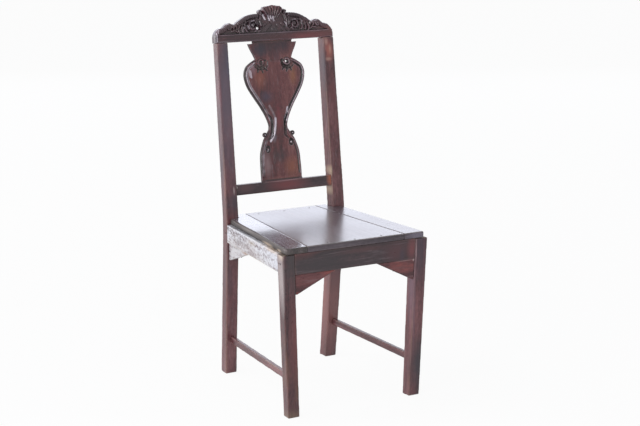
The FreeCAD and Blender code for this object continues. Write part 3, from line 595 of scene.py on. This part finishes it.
def splat_eye(side, h):
    """The volutes at the vase's shoulders, with the hollow and the nicks under each."""
    eye_h = eye_place_mm[1]
    hollow_line = [(26, eye_h + 2), (27, eye_h - 8), (35, eye_h - 14), (46, eye_h - 14), (55, eye_h - 9)]
    hollow = ridge(catmull(hollow_line, 8), 6.0, -3.6, side, h)
    nicks = [ridge(line, 2.0, -2.4, side, h) for line in (
        [(30, eye_h - 14), (24, eye_h - 22)], [(40, eye_h - 17), (37, eye_h - 27)],
        [(50, eye_h - 15), (52, eye_h - 25)])]
    volute = ridge(spiral(eye_place_mm, 11, 0.8, 290, 1, 0.45), 3.0, 2.2, side, h)
    return volute - 3.0 * bead(from_point(eye_place_mm, side, h), 6.5) + hollow + sum(nicks)


def splat_relief(x, h, edge):
    """How far the splat's front stands out of its plain face, in millimetres."""
    share = h / splat_height_mm
    side = np.abs(x)
    return (splat_border(x, share, edge) + splat_column(side, share) + splat_curl(x, side, h)
            + splat_eye(side, h))


def splat_front(x, h, edge):
    """Depth of the splat's front. Its tongues stay plain."""
    inside = ramp(h, 0, 4) * ramp(-h, -splat_height_mm, -splat_height_mm + 4)
    neck = splat_neck_mm * ramp(h / splat_height_mm, 0.87, 0.93)
    worn = (0.5 * field(x, h, across=0.03, along=0.012, offset=7.7)
            + 0.25 * field(x, h, across=0.09, along=0.05, offset=2.2))
    shape = splat_face_mm + neck + worn - splat_relief(x, h, edge)
    depth = inside * shape + rounded_edge(edge, splat_round_mm)
    return np.clip(depth, splat_least_mm, splat_thickness_mm - splat_web_mm)


def splat_back(x, h, edge):
    """Depth of the splat's plain back."""
    worn = 0.25 * field(x, h, across=0.03, along=0.02, offset=5.9)
    return splat_thickness_mm - 0.3 - np.clip(splat_back_round_mm - edge, 0, None) + worn


def splat_gleam(x, h):
    """The splat's painted highlights, positive, and the painted shade along the edges of its vase and
    bell, negative.
    """
    edge = inside_distance(splat_half_outline(), np.abs(x), h)
    share = h / splat_height_mm
    outline = between(share, *outline_zone_shares)
    # Painted highlights: the line along the left border, the thin one on the right, streaks, the waist
    # lines and the curls' dots.
    left = (x < 0) * outline * (1 - between(share, *gap_zone_shares))
    broken = 0.55 + 0.7 * ramp(share, 0.56, 0.66) + 0.35 * np.sin(h * 0.21) * np.sin(h * 0.093 + 1.0)
    border = left * broken * (0.85 * bead(edge - 6.2, 1.5) + 0.34 * bead(edge - 9.8, 3.0))
    thin = (x > 0) * between(share, *thin_zone_shares) * 0.6 * bead(edge - 6.6, 1.3)
    streaks = [ridge(line, 1.7, 0.8, x, h) for line in (
        [(-79, 311), (-76, 288)], [(-74, 305), (-72, 286)], [(-70, 318), (-62, 326)])]
    waist = [ridge(catmull(line, 8), half_width, strength, x, h) for line, half_width, strength in (
        (waist_line_mm, 3.5, 1.0), (waist_tail_mm, 3.6, 0.22))]
    waist.append(ridge(catmull([(32, 198), (27.5, 182), (25, 164)], 6), 4.0, 1.0, x, h))
    dots = [0.9 * bead(from_point(dot, x, h), radius) for *dot, radius in (
        (-curl_place_mm[0], curl_place_mm[1], 2.6), (*curl_place_mm, 2.6),
        (-38, 84, 3.2), (35, 103, 2.6))]
    # Painted shade along the left edges of the vase and bell, and along the right edge of the bell.
    vase_edge = ramp(share, 0.44, 0.5) * ramp(-edge, -4.6, -3.2)
    bell_edge = ramp(-share, -0.29, -0.26) * ramp(-edge, -4.2, -2.8)
    dark = outline * np.where(x < 0, vase_edge + bell_edge, 0.8 * bell_edge)
    return np.clip(np.maximum.reduce([border, thin] + waist + streaks + dots) - dark, -1, 1)


def to_splat():
    """From the splat's own plane, which is a little steeper than the back's, to the row's frame."""
    tilt = math.atan2(splat_top_depth_mm - splat_base_depth_mm, splat_height_mm)
    lift = splat_thickness_mm * math.sin(tilt)
    place = Matrix.Translation((0, splat_base_depth_mm, back_rail_top_mm + lift))
    return back_to_row() @ place @ Matrix.Rotation(-tilt, 4, "X")


def carved_splat(material, side_material):
    """The carved splat, with a near-black material on its sides for painted shade."""
    xs = steps_over(-splat_half_width_mm, splat_half_width_mm, splat_step_mm)
    hs = steps_over(-splat_tongue_mm, splat_height_mm + splat_tongue_mm, splat_step_mm)
    x, h = np.meshgrid(xs, hs)
    side = np.abs(x)
    inside = inside_distance(splat_half_outline(), side, h)
    curl = curl_radius_mm - from_point(curl_place_mm, side, h)
    eye = from_point(eye_place_mm, x, h) - eye_radius_mm
    inside = np.minimum(np.maximum(inside, curl), eye)
    obj = plate("carved_splat", xs, hs, inside, splat_front, splat_back, to_splat())
    relief_attribute(obj, rounds=8, scale_mm=0.9)
    gleam_attribute(obj, to_splat(), splat_gleam)
    finish_piece(obj, "back_splat", material)
    second_material(obj, side_material, lambda normal: abs(normal.y) < 0.7)


# Worn copies of the plain pieces

def worn_copy(node, material, voxel_mm, slot="frame_wood", wobble_mm=0.25, rounds=2, top_material=None,
              steepest=0.97):
    """The node's shape, softened and uneven. top_material goes where a normal's z is over steepest."""
    obj = new_object(node + "_worn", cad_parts[node].data.copy())
    with_settings(obj.modifiers.new("weld", "WELD"), merge_threshold=0.02 * MM)
    with_settings(obj.modifiers.new("remesh", "REMESH"), mode="VOXEL", voxel_size=voxel_mm * MM)
    with_settings(obj.modifiers.new("soften", "SMOOTH"), factor=0.5, iterations=rounds)
    applied(obj)
    relief_attribute(obj, rounds=4, scale_mm=0.5)
    place, normal = places(obj.data, "co"), places(obj.data, "normal")
    coarse, fine = 28.0, 90.0
    push = np.array([noise.noise(p * coarse) + 0.6 * noise.noise(p * fine) for p in map(Vector, place)])
    place = place + normal * (push[:, None] - 1.0) * wobble_mm * MM * 0.5
    low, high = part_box(node)
    obj.data.vertices.foreach_set("co", np.clip(place, low, high).ravel())
    obj.data.update()
    finish_piece(obj, node, material)
    if top_material:
        second_material(obj, top_material, lambda normal: normal.z > steepest)


def paint(node, material):
    """Gives a CAD node, which stays as it is, its material."""
    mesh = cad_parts[node].data
    mesh.materials.clear()
    mesh.materials.append(material)


# Materials

# The wood's noise fields: scale, detail, roughness and distortion
GRAIN = (75.0, 8.0, 0.62, 0.4)
FIGURE = (24.0, 4.0, 0.55, 1.0)
CLOUD = (11.0, 3.0, 0.5)
PORES = (420.0, 3.0, 0.7)
SPECK = (160.0, 4.0, 0.7)
STREAKS = (190.0, 3.0, 0.6, 0.3)

# Linear colours, in thousandths. The stains have a dark, a middle and a light tone.
STAIN = ((45, 14, 19), (125, 43, 49), (215, 90, 96))
DARK_STAIN = ((24, 12, 16), (53, 29, 36), (105, 55, 62))
RED_STAIN = ((42, 10, 14), (115, 30, 34), (195, 70, 68))
CARVED = ((18, 8, 12), (48, 18, 25), (105, 42, 49))
SEAT = ((34, 23, 30), (78, 56, 68), (130, 96, 110))
EDGE = ((32, 24, 32), (80, 62, 75), (140, 115, 130))
STRIP = ((60, 48, 62), (125, 105, 130), (200, 175, 205))
STRIP_EDGE = ((20, 16, 17), (60, 48, 48), (150, 125, 120))
# Painted shade: the near-black of the splat's sides
SIDE_SHADE_BLACK = ((8, 6, 7), (20, 13, 16), (50, 34, 38))
END_GRAIN = ((100, 75, 60), (240, 180, 140), (420, 340, 280))
STREAK = (270, 210, 230)
# Painted highlight: the lilac on the carving's raised ridges
HIGHLIGHT_LILAC = (400, 310, 370)
# Painted highlight: the pale strokes on the carving
HIGHLIGHT_PALE = (780, 700, 780)
WORN_BROWN = (240, 150, 120)
WORN_OCHRE = (500, 420, 300)
# Painted shade: the near-black on the brackets' rounded edges
EDGE_SHADE_BLACK = (18, 11, 13)
# Whitish haze of the finish, with painted sheen, on the left side rail
BLOOM_SHEEN_BLUE = (670, 690, 760)
BLOOM_SHEEN_GREY = (600, 600, 620)
PORE = (20, 12, 12)
# Grime and painted shade in hollows and inner corners
GRIME_AND_SHADE = (18, 15, 15)
# Painted shade: the dark lines along the splat's edges
SHADE_LINE = (20, 15, 18)


def new_material(name):
    """A material with an empty node tree, and the tree."""
    material = bpy.data.materials.new(name)
    material.use_nodes = True
    tree = material.node_tree
    tree.nodes.clear()
    return material, tree


def add(tree, kind, **values):
    """A new node, with values or links for its inputs and values for its settings."""
    node = tree.nodes.new(kind)
    for key, value in values.items():
        if key in node.inputs.keys():
            plug(tree, value, node.inputs[key])
        else:
            setattr(node, key, value)
    return node


def plug(tree, value, socket):
    """Links a node's output to a socket, or sets the socket to a plain value."""
    if hasattr(value, "links"):
        tree.links.new(value, socket)
    else:
        socket.default_value = value


def rgba(colour):
    """A node's form of a colour that is given in thousandths."""
    return (*[part / 1000 for part in colour], 1.0)


def colour_ramp(tree, source, stops):
    """A colour for each value, from (position, colour) stops."""
    node = add(tree, "ShaderNodeValToRGB", Fac=source)
    elements = node.color_ramp.elements
    while len(elements) < len(stops):
        elements.new(0.5)
    for element, (position, colour) in zip(elements, stops):
        element.position = position
        element.color = rgba(colour)
    return node.outputs["Color"]


def value_ramp(tree, source, low, high, to_low=0.0, to_high=1.0):
    """to_low below low, to_high above high and a straight run between."""
    ends = {"From Min": low, "From Max": high, "To Min": to_low, "To Max": to_high}
    return add(tree, "ShaderNodeMapRange", clamp=True, Value=source, **ends).outputs["Result"]


def math_node(tree, operation, a, b):
    """The result of a sum, a product or the like of two values."""
    node = add(tree, "ShaderNodeMath", operation=operation)
    plug(tree, a, node.inputs[0])
    plug(tree, b, node.inputs[1])
    return node.outputs[0]


def times(tree, a, b):
    """The product of two values."""
    return math_node(tree, "MULTIPLY", a, b)


def weighted(tree, *terms):
    """The sum of fields, each times its weight."""
    total, *rest = [times(tree, source, weight) for source, weight in terms]
    for part in rest:
        total = math_node(tree, "ADD", total, part)
    return total


def mix_colour(tree, factor, a, b):
    """Colour a where the factor is 0 and colour b where it is 1."""
    node = add(tree, "ShaderNodeMix", data_type="RGBA")
    plug(tree, factor, node.inputs[0])
    for colour, socket in ((a, node.inputs[6]), (b, node.inputs[7])):
        plug(tree, colour if hasattr(colour, "links") else rgba(colour), socket)
    return node.outputs[2]


def noise_field(tree, vector, scale, detail, rough, distortion=0.0):
    """Soft noise, mostly between 0.3 and 0.7."""
    return add(tree, "ShaderNodeTexNoise", Vector=vector, Scale=scale, Detail=detail, Roughness=rough,
               Distortion=distortion).outputs["Fac"]


def attribute(tree, name):
    """A value that is stored on the mesh."""
    return add(tree, "ShaderNodeAttribute", attribute_name=name).outputs["Fac"]


def object_places(tree):
    """The places in the object's own coordinates."""
    return add(tree, "ShaderNodeTexCoord").outputs["Object"]


def stretched(tree, axis, stretch, offset):
    """Object coordinates drawn out along the grain."""
    scale = [stretch if name == axis else 1.0 for name in "XYZ"]
    shift = (offset, offset * 0.7, offset * 1.3)
    mapping = add(tree, "ShaderNodeMapping", Vector=object_places(tree), Scale=scale, Location=shift)
    return mapping.outputs["Vector"]


def spot(tree, place, reach_mm, unevenness):
    """1 near a place and 0 beyond its reach, with an uneven border."""
    mapping = add(tree, "ShaderNodeMapping", vector_type="TEXTURE", Vector=object_places(tree),
                  Location=place, Scale=[side * MM for side in reach_mm])
    length = add(tree, "ShaderNodeVectorMath", operation="LENGTH")
    plug(tree, mapping.outputs["Vector"], length.inputs[0])
    far = math_node(tree, "ADD", length.outputs["Value"], times(tree, unevenness, 0.9))
    return value_ramp(tree, far, 1.5, 0.65)


def surface(tree, colour, roughness, height, bump_strength, bump_distance, **values):
    """A shader with the colour, the roughness and a bump, as the material's surface."""
    bump = add(tree, "ShaderNodeBump", Height=height, Strength=bump_strength, Distance=bump_distance)
    values.update({"Base Color": colour, "Roughness": roughness, "Normal": bump.outputs["Normal"]})
    shader = add(tree, "ShaderNodeBsdfPrincipled", **values)
    add(tree, "ShaderNodeOutputMaterial", Surface=shader.outputs["BSDF"])


def wood(name, axis, stain, seed, rough=(0.26, 0.42), coat=0.0, coat_rough=0.16, patches=(),
         worn=WORN_BROWN, edge_wear_and_light=0.5, dirt_and_shade=0.6, grain_depth=0.12, bloom_and_sheen=0.0, spots=(), streak=0.4,
         carved=False):
    """Stained and varnished wood, with its grain along an axis.

    patches are (colour, scale, low, high) areas of another tone, and spots are (place, reach in mm,
    colour, strength) marks at one place each. carved wood also has its painted highlights and painted
    shade lines.
    """
    material, tree = new_material(name)
    dark, middle, light = stain
    along = stretched(tree, axis, 0.05, seed)
    plain = stretched(tree, axis, 0.5, seed + 3.0)
    grain, figure, pores, streaks = [
        noise_field(tree, along, *kind) for kind in (GRAIN, FIGURE, PORES, STREAKS)]
    cloud, speck = [noise_field(tree, plain, *kind) for kind in (CLOUD, SPECK)]
    relief = attribute(tree, "relief")
    tone = weighted(tree, (figure, 0.4), (cloud, 0.3), (grain, 0.3))
    tone = weighted(tree, (tone, 0.78), (speck, 0.22))

    # What lies over the stain, from the bottom up: where it shows, and its colour
    layers = [(value_ramp(tree, streaks, 0.4, 0.3, 0.0, 0.55), dark),
              (value_ramp(tree, streaks, 0.58, 0.72, 0.0, streak), STREAK)]
    for patch_colour, scale, low, high in patches:
        place = noise_field(tree, stretched(tree, axis, 0.4, seed + scale), scale, 3.0, 0.55)
        layers.append((value_ramp(tree, place, low, high), patch_colour))
    layers.append((value_ramp(tree, pores, 0.3, 0.44, 0.35, 0.0), PORE))
    # Raised edges take the worn colour: worn edges on most woods, a painted highlight on the carving and
    # painted shade on the brackets.
    raised_wear_and_light = times(tree, value_ramp(tree, relief, 0.12, 0.55),
                   value_ramp(tree, cloud, 0.4, 0.66, 0.15, 1.0))
    layers.append((times(tree, raised_wear_and_light, edge_wear_and_light), worn))
    # A pale mottled haze on the finish, which on the left side rail is also painted sheen.
    if bloom_and_sheen:
        pale = value_ramp(tree, math_node(tree, "ADD", speck, grain), 0.7, 1.05)
        tint = mix_colour(tree, value_ramp(tree, cloud, 0.42, 0.62), BLOOM_SHEEN_BLUE, BLOOM_SHEEN_GREY)
        layers.append((times(tree, pale, bloom_and_sheen), tint))
    for place, reach_mm, spot_colour, strength in spots:
        layers.append((times(tree, spot(tree, place, reach_mm, tone), strength), spot_colour))
    # Hollows and inner corners are darkened: grime, with painted shade where the carving is deep.
    layers.append((times(tree, value_ramp(tree, relief, -0.08, -0.6), dirt_and_shade), GRIME_AND_SHADE))
    # Carved wood: painted highlights where the stored value is positive, painted shade lines where it is
    # negative
    if carved:
        painted_light = attribute(tree, "painted_light")
        layers.append((value_ramp(tree, painted_light, 0.0, -1.0), SHADE_LINE))
        layers.append((times(tree, painted_light, value_ramp(tree, speck, 0.3, 0.55, 0.45, 1.0)), HIGHLIGHT_PALE))
    colour = colour_ramp(tree, tone, [(0.41, dark), (0.5, middle), (0.59, light)])
    for mask, layer_colour in layers:
        colour = mix_colour(tree, mask, colour, layer_colour)

    roughness = value_ramp(tree, weighted(tree, (speck, 0.5), (cloud, 0.5)), 0.35, 0.65, *rough)
    height = weighted(tree, (grain, 0.6), (pores, 0.4))
    surface(tree, colour, roughness, height, grain_depth, 1.2 * MM,
            **{"Coat Weight": coat, "Coat Roughness": coat_rough, "IOR": 1.5})
    return material


def nail_steel():
    """Dulled steel with dark spots."""
    material, tree = new_material("dull_steel")
    spots = noise_field(tree, object_places(tree), 600.0, 5.0, 0.7)
    colour = colour_ramp(tree, spots, [(0.35, (30, 20, 18)), (0.65, (100, 85, 80))])
    roughness = value_ramp(tree, spots, 0.3, 0.7, 0.35, 0.65)
    surface(tree, colour, roughness, spots, 0.3, 0.3 * MM, Metallic=0.8)
    return material


# Marks that the photograph shows: place, reach in mm, colour, strength

def marks(corner, *rows):
    """Marks at places in mm from a corner."""
    return [(corner + Vector(place) * MM, *rest) for place, *rest in rows]


def back_marks(*rows):
    """Marks on the back, at places across and above the stiles' joint."""
    return [(on_back(*place), *rest) for place, *rest in rows]


UPRIGHT_MARKS = back_marks(
    ((163, -36), (17, 60, 34), (340, 110, 85), 0.85),
    ((156, -12), (7, 60, 13), (460, 270, 230), 0.7),
    ((167, -33), (5, 60, 15), (480, 270, 220), 0.6),
    ((160, -61), (13, 60, 6), (460, 280, 230), 0.6),
    ((153, -44), (4, 60, 9), (100, 35, 40), 0.8),
    ((170, -150), (17, 60, 60), (170, 45, 50), 0.5),
    ((149, -372), (4, 60, 18), (460, 340, 240), 0.8),
    ((146, -425), (5, 60, 20), (460, 340, 240), 0.8),
    ((138, -420), (9, 60, 30), (330, 290, 310), 0.6),
    # The next mark darkens the top of the right stile's inner face: painted shade.
    ((147, -70), (7, 60, 90), (45, 35, 55), 0.7),
) + marks(
    Vector(),
    ((160, 190, 200), (40, 60, 240), (360, 160, 150), 0.85),
) + back_marks(
    ((-164, -160), (34, 60, 300), (120, 90, 120), 0.75),
    ((-151, -60), (8, 60, 60), (70, 70, 110), 0.6),
    ((-180, -130), (6, 60, 70), (200, 70, 85), 0.5),
    ((-158, -400), (2.6, 60, 14), (620, 520, 500), 0.9),
    ((-158, -430), (30, 60, 46), (50, 40, 52), 0.8),
) + marks(
    left_leg_corner,
    ((0, 20, 350), (9, 60, 130), (420, 360, 360), 0.9),
    ((40, 0, 200), (22, 40, 120), (180, 52, 52), 0.6),
    ((25, 0, 420), (26, 10, 100), (36, 33, 36), 0.85),
    ((0, 12, 430), (7, 22, 14), (550, 440, 360), 0.8),
    ((30, 10, 0), (50, 50, 26), (170, 110, 75), 0.7),
) + marks(
    right_leg_corner,
    ((30, 0, 90), (34, 24, 90), (36, 28, 38), 0.9),
    ((30, 0, 400), (26, 12, 110), (45, 32, 50), 0.7),
) + marks(
    right_joint,
    ((1.5, 0, -35), (2.4, 20, 42), (320, 210, 220), 0.8),
) + marks(
    Vector((right_joint_x, leg_front, 0)),
    ((-3, 14, 260), (7, 24, 190), (240, 155, 200), 0.7),
)
FRONT_RAIL_MARKS = marks(
    right_joint,
    ((-12, 0, -30), (17, 20, 34), (190, 50, 56), 0.75),
    ((-60, 0, -30), (46, 20, 34), (110, 36, 44), 0.5),
    ((-42, 0, -40), (10, 20, 24), (45, 30, 50), 0.6),
    ((-170, 0, -12), (90, 20, 9), (200, 75, 75), 0.25),
) + marks(
    frame_front,
    ((-100, 0, -35), (160, 20, 40), (34, 28, 32), 0.7),
)
BRACKET_MARKS = marks(
    Vector((right_joint_x, leg_front, front_rail_bottom)),
    ((-4, 0, -3), (6, 20, 5), (520, 380, 380), 0.9),
    ((-30, 0, -2), (40, 20, 2.4), (320, 200, 200), 0.7),
)
STRIP_TOP_MARKS = marks(
    Vector((0, leg_front, seat_top)),
    ((-180, 110, 0), (60, 120, 30), (185, 165, 200), 0.8),
    ((-160, 12, 0), (60, 24, 30), (280, 270, 310), 0.6),
)
SEAT_MARKS = marks(
    Vector((0, 0, seat_top)),
    ((-60, -30, 0), (150, 170, 30), (165, 152, 185), 0.75),
    ((120, 50, 0), (80, 220, 30), (125, 115, 140), 0.6),
)
SEAT_EDGE_MARKS = marks(
    Vector((seat_right, seat_front, frame_top)),
    ((-20, 0, 8), (42, 20, 14), (190, 165, 210), 0.8),
)
BACK_RAIL_MARKS = back_marks(
    ((147, -396), (15, 80, 30), (400, 120, 65), 0.9),
    ((-148, -392), (3, 80, 5), (620, 520, 500), 0.8),
    ((10, -398), (75, 80, 22), (200, 45, 50), 0.75),
    ((6, -386), (70, 30, 2.2), (360, 210, 230), 0.8),
    ((-120, -395), (30, 80, 16), (110, 50, 55), 0.6),
)
STRIP_MARKS = marks(
    Vector((0, 0, frame_top)),
    # The first mark, a dark line along the board's lower edge, is painted shade in the gap above the
    # rail, and grime in the joint.
    ((-190, 0, 0), (60, 320, 8), (14, 12, 12), 0.95),
    ((-190, -120, 3), (60, 40, 6), (460, 360, 270), 0.8),
    ((-190, -195, 3), (60, 16, 5), (500, 400, 300), 0.85),
    ((-190, 20, 10), (60, 60, 5), (200, 175, 165), 0.6),
    ((-190, -165, 3), (60, 12, 7), (20, 16, 15), 0.9),
)
RAIL_MARKS = marks(
    frame_front,
    ((-200, 70, 0), (60, 60, 9), (520, 380, 270), 0.75),
    ((-200, 200, -12), (60, 30, 7), (400, 340, 270), 0.5),
    ((-200, 300, -35), (60, 6, 20), (120, 90, 100), 0.6),
    ((-200, 120, -30), (60, 5, 24), (160, 130, 130), 0.5),
    ((-200, 250, -20), (60, 4, 26), (200, 170, 180), 0.5),
) + marks(
    rear_bracket_corner,
    ((0, 20, 44), (40, 34, 6), (330, 180, 120), 0.8),
)
CREST_MARKS = back_marks(
    ((0, 90), (42, 40, 26), (170, 55, 60), 0.6),
    ((-8, 34), (50, 20, 17), (20, 24, 26), 0.9),
    ((0, 52), (190, 20, 40), (26, 15, 23), 0.6),
    ((95, 6), (90, 20, 16), (170, 40, 44), 0.85),
    ((-60, 8), (110, 20, 16), (36, 17, 22), 0.85),
    ((10, 6), (60, 20, 10), (60, 18, 22), 0.8),
    # The next mark darkens the hollow beside the hole: painted shade.
    ((-54, 44), (16, 44, 11), (26, 18, 24), 0.95),
    ((-184, 12), (10, 44, 30), (75, 70, 80), 0.9),
    ((150, 60), (40, 20, 30), (50, 35, 65), 0.6),
    ((-120, 40), (30, 20, 20), (100, 55, 50), 0.5),
)


def splat_marks():
    """The splat's patches: across, above the lower back rail, reach both ways, colour, strength."""
    rows = (
        (-46, 282, 24, 36, (260, 80, 50), 0.6), (55, 285, 15, 36, (300, 120, 50), 0.55),
        (-40, 312, 22, 9, (40, 52, 45), 0.7), (42, 310, 18, 12, (35, 55, 48), 0.75),
        (-30, 232, 24, 20, (45, 45, 85), 0.6), (-66, 312, 12, 26, (260, 160, 190), 0.6),
        (-38, 362, 30, 24, (32, 34, 58), 0.8), (30, 372, 34, 26, (50, 26, 45), 0.7),
        # (-16, 118) is a painted highlight on the waist.
        (10, 340, 16, 20, (110, 45, 60), 0.5), (-16, 118, 8, 16, (220, 200, 240), 0.5),
        (34, 34, 30, 38, (270, 85, 40), 0.6), (-4, 66, 30, 24, (45, 28, 34), 0.6),
        # (-42, 44) is a painted highlight down the left of the bell.
        (-42, 44, 13, 46, (300, 200, 210), 0.6), (2, 170, 12, 66, (180, 34, 45), 0.7),
        (0, 4, 60, 8, (240, 85, 80), 0.6), (0, 372, 80, 48, (24, 11, 20), 0.72),
        (0, 383, 60, 5, (300, 130, 120), 0.8), (0, 250, 40, 70, (85, 22, 28), 0.45),
    )
    return [(to_splat() @ Vector((x, 3, h)), (across, 14, up), colour, strength)
            for x, h, across, up, colour, strength in rows]


# What some of the woods share
EDGE_LOOK = dict(rough=(0.34, 0.6), grain_depth=0.3)
# The carving's raised ridges take a lilac painted highlight.
CARVED_LOOK = dict(rough=(0.16, 0.3), worn=HIGHLIGHT_LILAC, carved=True)
BOARD_WEAR = dict(slot="seat_wood", voxel_mm=1.6, wobble_mm=0.12, rounds=1)


def dress_chair():
    """Gives every node of the chair its look."""
    upright = wood("stain_upright", "Z", STAIN, seed=1.0, spots=UPRIGHT_MARKS,
                   patches=[((150, 70, 45), 9.0, 0.6, 0.72), ((45, 30, 45), 7.0, 0.56, 0.7)])
    back_rail = wood("stain_back_rail", "X", DARK_STAIN, seed=4.0, spots=BACK_RAIL_MARKS)
    end_grain = wood("end_grain", "Z", END_GRAIN, seed=6.0, rough=(0.75, 0.95))
    across = wood("stain_across", "X", DARK_STAIN, seed=2.0, spots=FRONT_RAIL_MARKS,
                  patches=[((150, 45, 45), 6.0, 0.58, 0.7)])
    lengthways = wood("stain_lengthways", "Y", STAIN, seed=3.0, edge_wear_and_light=0.8)
    # The left side rail's pale haze is partly painted sheen.
    side_rail = wood("stain_side_rail", "Y", STAIN, seed=5.0, rough=(0.2, 0.34), worn=WORN_OCHRE,
                     edge_wear_and_light=0.9, bloom_and_sheen=0.85, spots=RAIL_MARKS)
    # The brackets' rounded edges are painted near-black: painted shade along their lower edges.
    bracket = wood("stain_bracket", "X", RED_STAIN, seed=7.0, worn=EDGE_SHADE_BLACK, edge_wear_and_light=1.2,
                   spots=BRACKET_MARKS, patches=[((230, 55, 50), 22.0, 0.5, 0.6)])
    # The crest and the splat have their hollows darkened, partly as painted shade.
    crest = wood("stain_crest", "X", CARVED, seed=11.0, dirt_and_shade=0.95, edge_wear_and_light=0.5, spots=CREST_MARKS,
                 patches=[((140, 50, 50), 8.0, 0.56, 0.7)], **CARVED_LOOK)
    splat = wood("stain_splat", "Z", RED_STAIN, seed=13.0, dirt_and_shade=0.9, edge_wear_and_light=0.6, spots=splat_marks(),
                 **CARVED_LOOK)
    seat = wood("varnish_seat", "Y", SEAT, seed=17.0, rough=(0.3, 0.42), coat=1.0, coat_rough=0.25,
                grain_depth=0.06, streak=0.1, spots=SEAT_MARKS)
    strip = wood("varnish_strip", "Y", STRIP, seed=18.0, rough=(0.2, 0.3), coat=1.0, coat_rough=0.11,
                 grain_depth=0.05, streak=0.3, spots=STRIP_TOP_MARKS)
    strip_edge = wood("strip_edge", "Y", STRIP_EDGE, seed=22.0, edge_wear_and_light=0.2, spots=STRIP_MARKS, **EDGE_LOOK)
    seat_edge = wood("seat_edge", "X", EDGE, seed=21.0, edge_wear_and_light=0.2, spots=SEAT_EDGE_MARKS, **EDGE_LOOK)
    # The splat's sides are painted near-black: painted shade.
    splat_side_shade = wood("splat_side_shade", "Z", SIDE_SHADE_BLACK, seed=23.0, edge_wear_and_light=0.1, streak=0.1, **EDGE_LOOK)
    peg = wood("peg_wood", "X", DARK_STAIN, seed=19.0)
    steel = nail_steel()

    carved_crest(crest)
    carved_splat(splat, splat_side_shade)
    for side, side_wood in (("left", side_rail), ("right", lengthways)):
        worn_copy(side + "_rear_post", upright, 2.0)
        worn_copy(side + "_front_leg", upright, 1.8, top_material=end_grain)
        worn_copy(side + "_seat_rail", side_wood, 2.0)
        worn_copy(side + "_stretcher", lengthways, 1.6)
        worn_copy(side + "_front_bracket", bracket, 1.4, "bracket_wood")
        worn_copy(side + "_rear_bracket", side_wood, 1.4, "bracket_wood")
    worn_copy("left_seat_board", strip_edge, top_material=strip, **BOARD_WEAR)
    worn_copy("right_seat_board", seat_edge, top_material=seat, steepest=0.5, **BOARD_WEAR)
    worn_copy("front_seat_rail", across, 2.0)
    worn_copy("rear_seat_rail", across, 2.0)
    worn_copy("lower_back_rail", back_rail, 1.8)
    worn_copy("seat_board_centre", seat_edge, top_material=seat, steepest=0.5, **BOARD_WEAR)
    for node, material in (("seat_rail_pegs", peg), ("crest_pegs", peg),
                           ("seat_nails", steel), ("bracket_nails", steel)):
        paint(node, material)


# Stage

def shown_white(tree, lighting, white, share, output_kind):
    """Lights the chair by one shader, and shows white to the camera and in reflections."""
    path = add(tree, "ShaderNodeLightPath")
    seen = math_node(tree, "MAXIMUM", path.outputs["Is Camera Ray"], path.outputs["Is Glossy Ray"])
    mixed = add(tree, "ShaderNodeMixShader")
    sources = times(tree, seen, share), lighting.outputs[0], white.outputs[0]
    for source, socket in zip(sources, mixed.inputs):
        plug(tree, source, socket)
    add(tree, output_kind, Surface=mixed.outputs[0])


def floor_and_world():
    """A wide pale floor, and the soft light from all round."""
    size = 40.0
    corners = [(-size, -size, 0), (size, -size, 0), (size, size, 0), (-size, size, 0)]
    floor = build("floor", corners, [(0, 1, 2, 3)], Matrix.Identity(4))
    material, tree = new_material("pale_floor")
    diffuse = add(tree, "ShaderNodeBsdfDiffuse", Color=(0.86, 0.86, 0.86, 1))
    white = add(tree, "ShaderNodeEmission", Color=(1, 1, 1, 1), Strength=1.0)
    shown_white(tree, diffuse, white, share=0.94, output_kind="ShaderNodeOutputMaterial")
    floor.data.materials.append(material)

    world = bpy.data.worlds.new("studio")
    world.use_nodes = True
    scene.world = world
    tree = world.node_tree
    tree.nodes.clear()
    light = add(tree, "ShaderNodeBackground", Color=(0.92, 0.95, 1.0, 1), Strength=0.45)
    white = add(tree, "ShaderNodeBackground", Color=(1, 1, 1, 1), Strength=1.0)
    shown_white(tree, light, white, share=1.0, output_kind="ShaderNodeOutputWorld")


def lamp(name, kind, place, aim_height, energy, **settings):
    """A lamp that points at a height over the chair's middle, and isn't seen itself."""
    data = bpy.data.lights.new(name, kind)
    with_settings(data, energy=energy, **settings)
    obj = new_object(name, data)
    obj.location = place
    obj.rotation_euler = (Vector((0, 0, aim_height)) - Vector(place)).to_track_quat("-Z", "Y").to_euler()
    obj.visible_camera = False


def panel(name, place, aim_height, energy, width, height, color=(1, 1, 1)):
    """A rectangular lamp."""
    size = dict(shape="RECTANGLE", size=width, size_y=height)
    lamp(name, "AREA", place, aim_height, energy, color=color, **size)


def lights():
    """The window, panels in front, at the left and behind, and a soft sun."""
    panel("window", place=(-3.8, -1.5, 1.3), aim_height=0.8, energy=80.0, width=1.6, height=2.4)
    panel("front_left", place=(-3.0, -3.4, 1.7), aim_height=0.7, energy=20.0, width=0.6, height=1.6)
    lamp("above", "SUN", place=(-3.0, 1.4, 4.2), aim_height=0.4, energy=0.6, angle=math.radians(25))
    panel("left_panel", place=(-2.9, 4.4, 1.4), aim_height=0.5, energy=52.0, width=3.2, height=2.4)
    panel("back_panel", place=(2.6, 5.6, 2.0), aim_height=0.45, energy=66.0, width=7.0, height=2.6,
          color=(0.75, 0.8, 1.0))


def camera():
    """The photograph's camera."""
    data = bpy.data.cameras.new("camera")
    with_settings(data, lens=camera_lens_mm, sensor_width=sensor_width_mm, clip_end=200.0)
    obj = new_object("camera", data)
    turn = Matrix.Rotation(camera_yaw, 4, "Z") @ Matrix.Rotation(math.pi / 2 + camera_pitch, 4, "X")
    turn = turn @ Matrix.Rotation(camera_roll, 4, "Z")
    obj.matrix_world = Matrix.Translation(camera_place + Vector((0, leg_front, 0))) @ turn
    scene.camera = obj


dress_chair()
floor_and_world()
lights()
camera()
scene.view_settings.view_transform = "Standard"
